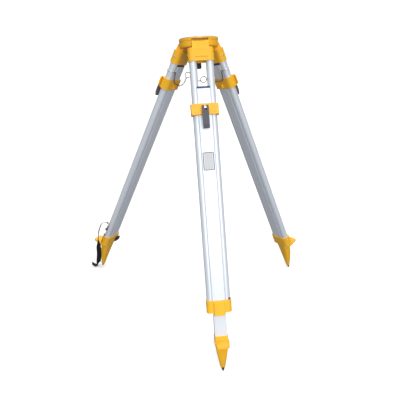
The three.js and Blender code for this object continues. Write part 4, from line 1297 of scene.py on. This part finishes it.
class TRIPOD_OT_chain(bpy.types.Operator):
    """Build the spring clips, the rings and the spreader chain between the legs"""

    bl_idname = "tripod.chain"
    bl_label = "Spreader chain"

    def execute(self, context):
        s, leg = context.scene.tripod_strap, context.scene.tripod_leg
        wire, drop = 1.2 * MM, -88 * MM
        rail = leg.rail_radius + GAP + wire
        for name, k in (("left", 1), ("right", -1)):
            a = np.radians(np.linspace(-97, 97, 60))
            bow = np.stack([k * (leg.rail_shift + rail * np.cos(a)), rail * np.sin(a), np.full(60, drop)], 1)
            clip = shell(round_wire(bow, wire, (0, 0, 1)))
            piece(f"spring_clip_{name}", [clip], leg_place(name), f"upper_leg_{name}", "steel", "spring_wire",
                  [f"rail_clip_{name}"])
        for name, x, z, radius in (("left", -45, -94, 9.5), ("right", 10.3, -112.4, 10.5)):
            a = np.linspace(0, 2 * math.pi, 49)[:-1]
            hoop = np.stack([np.cos(a) * radius + x, 0 * a, np.sin(a) * radius + z], 1) * MM
            b = np.linspace(0, 2 * math.pi, 12, endpoint=False)
            out = np.stack([np.cos(a), 0 * a, np.sin(a)], 1)
            rings = hoop[:, None] + wire * (
                np.cos(b)[:, None] * out[:, None] + np.sin(b)[:, None] * np.array([0, 1.0, 0])
            )
            piece(f"split_ring_{name}", [shell(rings, loop=True)], HEAD, "head", "chain_steel", "dark_wire",
                  [f"chain_ring_{name}"])
        left_in, right_in = leg_place("left"), leg_place("right")
        mm = 1 / MM
        runs = {
            "left": np.concatenate([
                at(left_in, np.array([(26.9, 17.4, -88), (22.5, 24, -118)]) / mm),
                at(HEAD, np.array([(-70, 6, -128), (-58, 3, -117), (-51.2, 0, -105)]) / mm)]),
            "middle": at(HEAD, np.array([(-34.4, 0, -101.2), (-24, -1, -109.5), (-12, -1, -115.5),
                                         (-3.4, 0, -116)]) / mm),
            "right": np.concatenate([
                at(HEAD, np.array([(24, 0, -113), (36, 4, -119), (50, 9, -121)]) / mm),
                at(right_in, np.array([(-22.5, 24, -118), (-26.9, 17.4, -88)]) / mm)]),
        }
        for name, points in runs.items():
            links = chain(curve_through(points, 60), s.link, s.wire)
            obj = piece(f"chain_run_{name}", links, np.eye(4), "head", "chain_steel", "dark_wire",
                        [f"spreader_chain_{name}"])
            if name != "middle":
                obj.parent = None
                del obj["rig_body"]
                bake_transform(obj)
        return {"FINISHED"}


STRAP_ROUTE = [
    (-404.3, -4.8, 215.4), (-400.2, -4.7, 225.6), (-396.2, -4.7, 235.5), (-393.9, -4.9, 245),
    (-395.8, -5.3, 250.5), (-400.8, -5.6, 253.8), (-407.8, -6.1, 254.8), (-415.9, -6.7, 252.6),
    (-422.6, -7.5, 246), (-429.1, -8.7, 233.5), (-436.8, -10.1, 212), (-442.8, -13.1, 185),
    (-446.3, -14.6, 161), (-448.8, -14.1, 121), (-452.8, -7.1, 84), (-458.8, -2.1, 50), (-464.8, 1.9, 21),
    (-468.8, 3.4, 9.5), (-475.3, 3.9, 5.2), (-483.8, 3.9, 7.2), (-494.3, 3.9, 19),
]
HEAD_OVER = np.array([HEAD_CENTRE[0], HEAD_CENTRE[1], 0.0])


class TRIPOD_OT_strap(bpy.types.Operator):
    """Build the carrying strap with its button and buckle"""

    bl_idname = "tripod.strap"
    bl_label = "Carrying strap"

    def execute(self, context):
        s, leg = context.scene.tripod_strap, context.scene.tripod_leg
        path = curve_through(np.array(STRAP_ROUTE) * MM + HEAD_OVER, 260)
        run = np.linalg.norm(np.diff(path, axis=0), axis=1).sum()
        u = np.linspace(0, 1, len(path))
        turn = math.radians(80) * (eased(u, 0.42, 0.6) - eased(u, 0.82, 0.92))
        lean = 0.69 * (eased(u, 0.04, 0.14) - eased(u, 0.3, 0.42))
        rough = np.stack([np.sin(turn), np.cos(turn), -lean], 1)
        _, across, through = axes_along(path, rough)
        # the slack lower part ripples: the middle line shifts through the band by a soft wave
        ripple = 0.5 * MM * eased(u, 0.5, 0.66) * np.sin(u * run / (21 * MM) * 2 * math.pi)
        t = np.linspace(0, 2 * math.pi, 40, endpoint=False)
        # section: a flat lozenge |x/a|^3 + |y/b|^3 = 1, thinner towards its woven edges
        c, d = np.cos(t), np.sin(t)
        sx = np.sign(c) * np.abs(c) ** (2 / 7.0) * s.width / 2
        sy = np.sign(d) * np.abs(d) ** (2 / 2.6) * s.thickness / 2
        cup = ripple[:, None] * np.cos(sx / s.width * math.pi)[None]
        rings = path[:, None] + across[:, None] * sx[None, :, None] + through[:,
            None] * (sy[None] + cup)[..., None]
        strap = piece("webbing_strap", [shell(rings)], np.eye(4), "upper_leg_left", "webbing",
            "black_webbing",
                      ["carrying_strap"], sharp=70)
        side = math.radians(35)
        place = moved(turned(moved(leg_place("left"), x=leg.rail_shift, z=-834 * MM), side, "Z"))
        under = leg.rail_radius + 2 * GAP + 2.2 * MM
        outline, _ = fillet([(0, under), (5.5 * MM, under), (5.5 * MM, under + 2 * MM), (3.4 * MM,
            under + 4 * MM),
                             (0, under + 4 * MM)], np.array([0, 0.4, 1.2, 1.2, 0]) * MM, 5)
        points, faces, uv, inward = shell(lathe(outline, 40))
        facing = placed((0, 0, 0), (1, 0, 0), (0, -1, 0))
        piece("strap_stud", [(at(facing, points), faces, uv, inward)], place, "upper_leg_left",
              "blue_plastic", "blue_plastic", ["strap_button"])

        # buckle: a rounded frame with two windows and a bar between them
        frame_out = shell(upright(raised(box_outline(30 * MM, 22 * MM, 5 * MM), -2.6 * MM, 2.6 * MM), "Y"))
        windows = [
            shell(upright(raised(box_outline(22 * MM, 4.6 * MM, 1.5 * MM, k * 4.6 * MM, 4), -4 * MM,
                4 * MM), "Y"))
            for k in (-1, 1)
        ]
        buckle = carved("slide_buckle", [frame_out], windows)
        seat = moved(leg_place("left"), x=-27 * MM, y=18.5 * MM + GAP + 3 * MM, z=-leg.collar_top - 24 * MM)
        piece("slide_buckle", buckle, seat, "upper_leg_left", "black_plastic", "black_plastic",
            ["strap_buckle"],
              1.0 * MM, 38)
        return {"FINISHED"}


# ---- panel --------------------------------------------------------------------------------
OPERATORS = (
    TRIPOD_OT_stage, TRIPOD_OT_finishes, TRIPOD_OT_strap, TRIPOD_OT_chain, TRIPOD_OT_head,
    TRIPOD_OT_fixing_screw,
    TRIPOD_OT_leg_heads, TRIPOD_OT_rails, TRIPOD_OT_collars, TRIPOD_OT_clamps, TRIPOD_OT_shoes,
)
SETTINGS = {
    "tripod_stage": StageSettings, "tripod_colours": TripodColours, "tripod_head": HeadSizes,
    "tripod_leg": LegSizes, "tripod_strap": StrapSizes,
}


class VIEW3D_PT_tripod(bpy.types.Panel):
    """Sizes, colours and build steps of the tripod"""

    bl_label = "Surveying Tripod"
    bl_space_type = "VIEW_3D"
    bl_region_type = "UI"
    bl_category = "Tripod"

    def draw(self, context):
        for key, group in SETTINGS.items():
            box = self.layout.box()
            box.label(text=group.__doc__)
            for name in group.__annotations__:
                box.prop(getattr(context.scene, key), name)
        for operator in OPERATORS:
            self.layout.operator(operator.bl_idname)


def register():
    for group in SETTINGS.values():
        bpy.utils.register_class(group)
    for operator in OPERATORS:
        bpy.utils.register_class(operator)
    bpy.utils.register_class(VIEW3D_PT_tripod)
    for key, group in SETTINGS.items():
        setattr(bpy.types.Scene, key, PointerProperty(type=group))


def unregister():
    for key in SETTINGS:
        delattr(bpy.types.Scene, key)
    bpy.utils.unregister_class(VIEW3D_PT_tripod)
    for operator in reversed(OPERATORS):
        bpy.utils.unregister_class(operator)
    for group in reversed(SETTINGS.values()):
        bpy.utils.unregister_class(group)


def main():
    """Builds everything in order."""
    register()
    for operator in OPERATORS:
        group, name = operator.bl_idname.split(".")
        getattr(getattr(bpy.ops, group), name)()


if __name__ == "__main__":
    main()
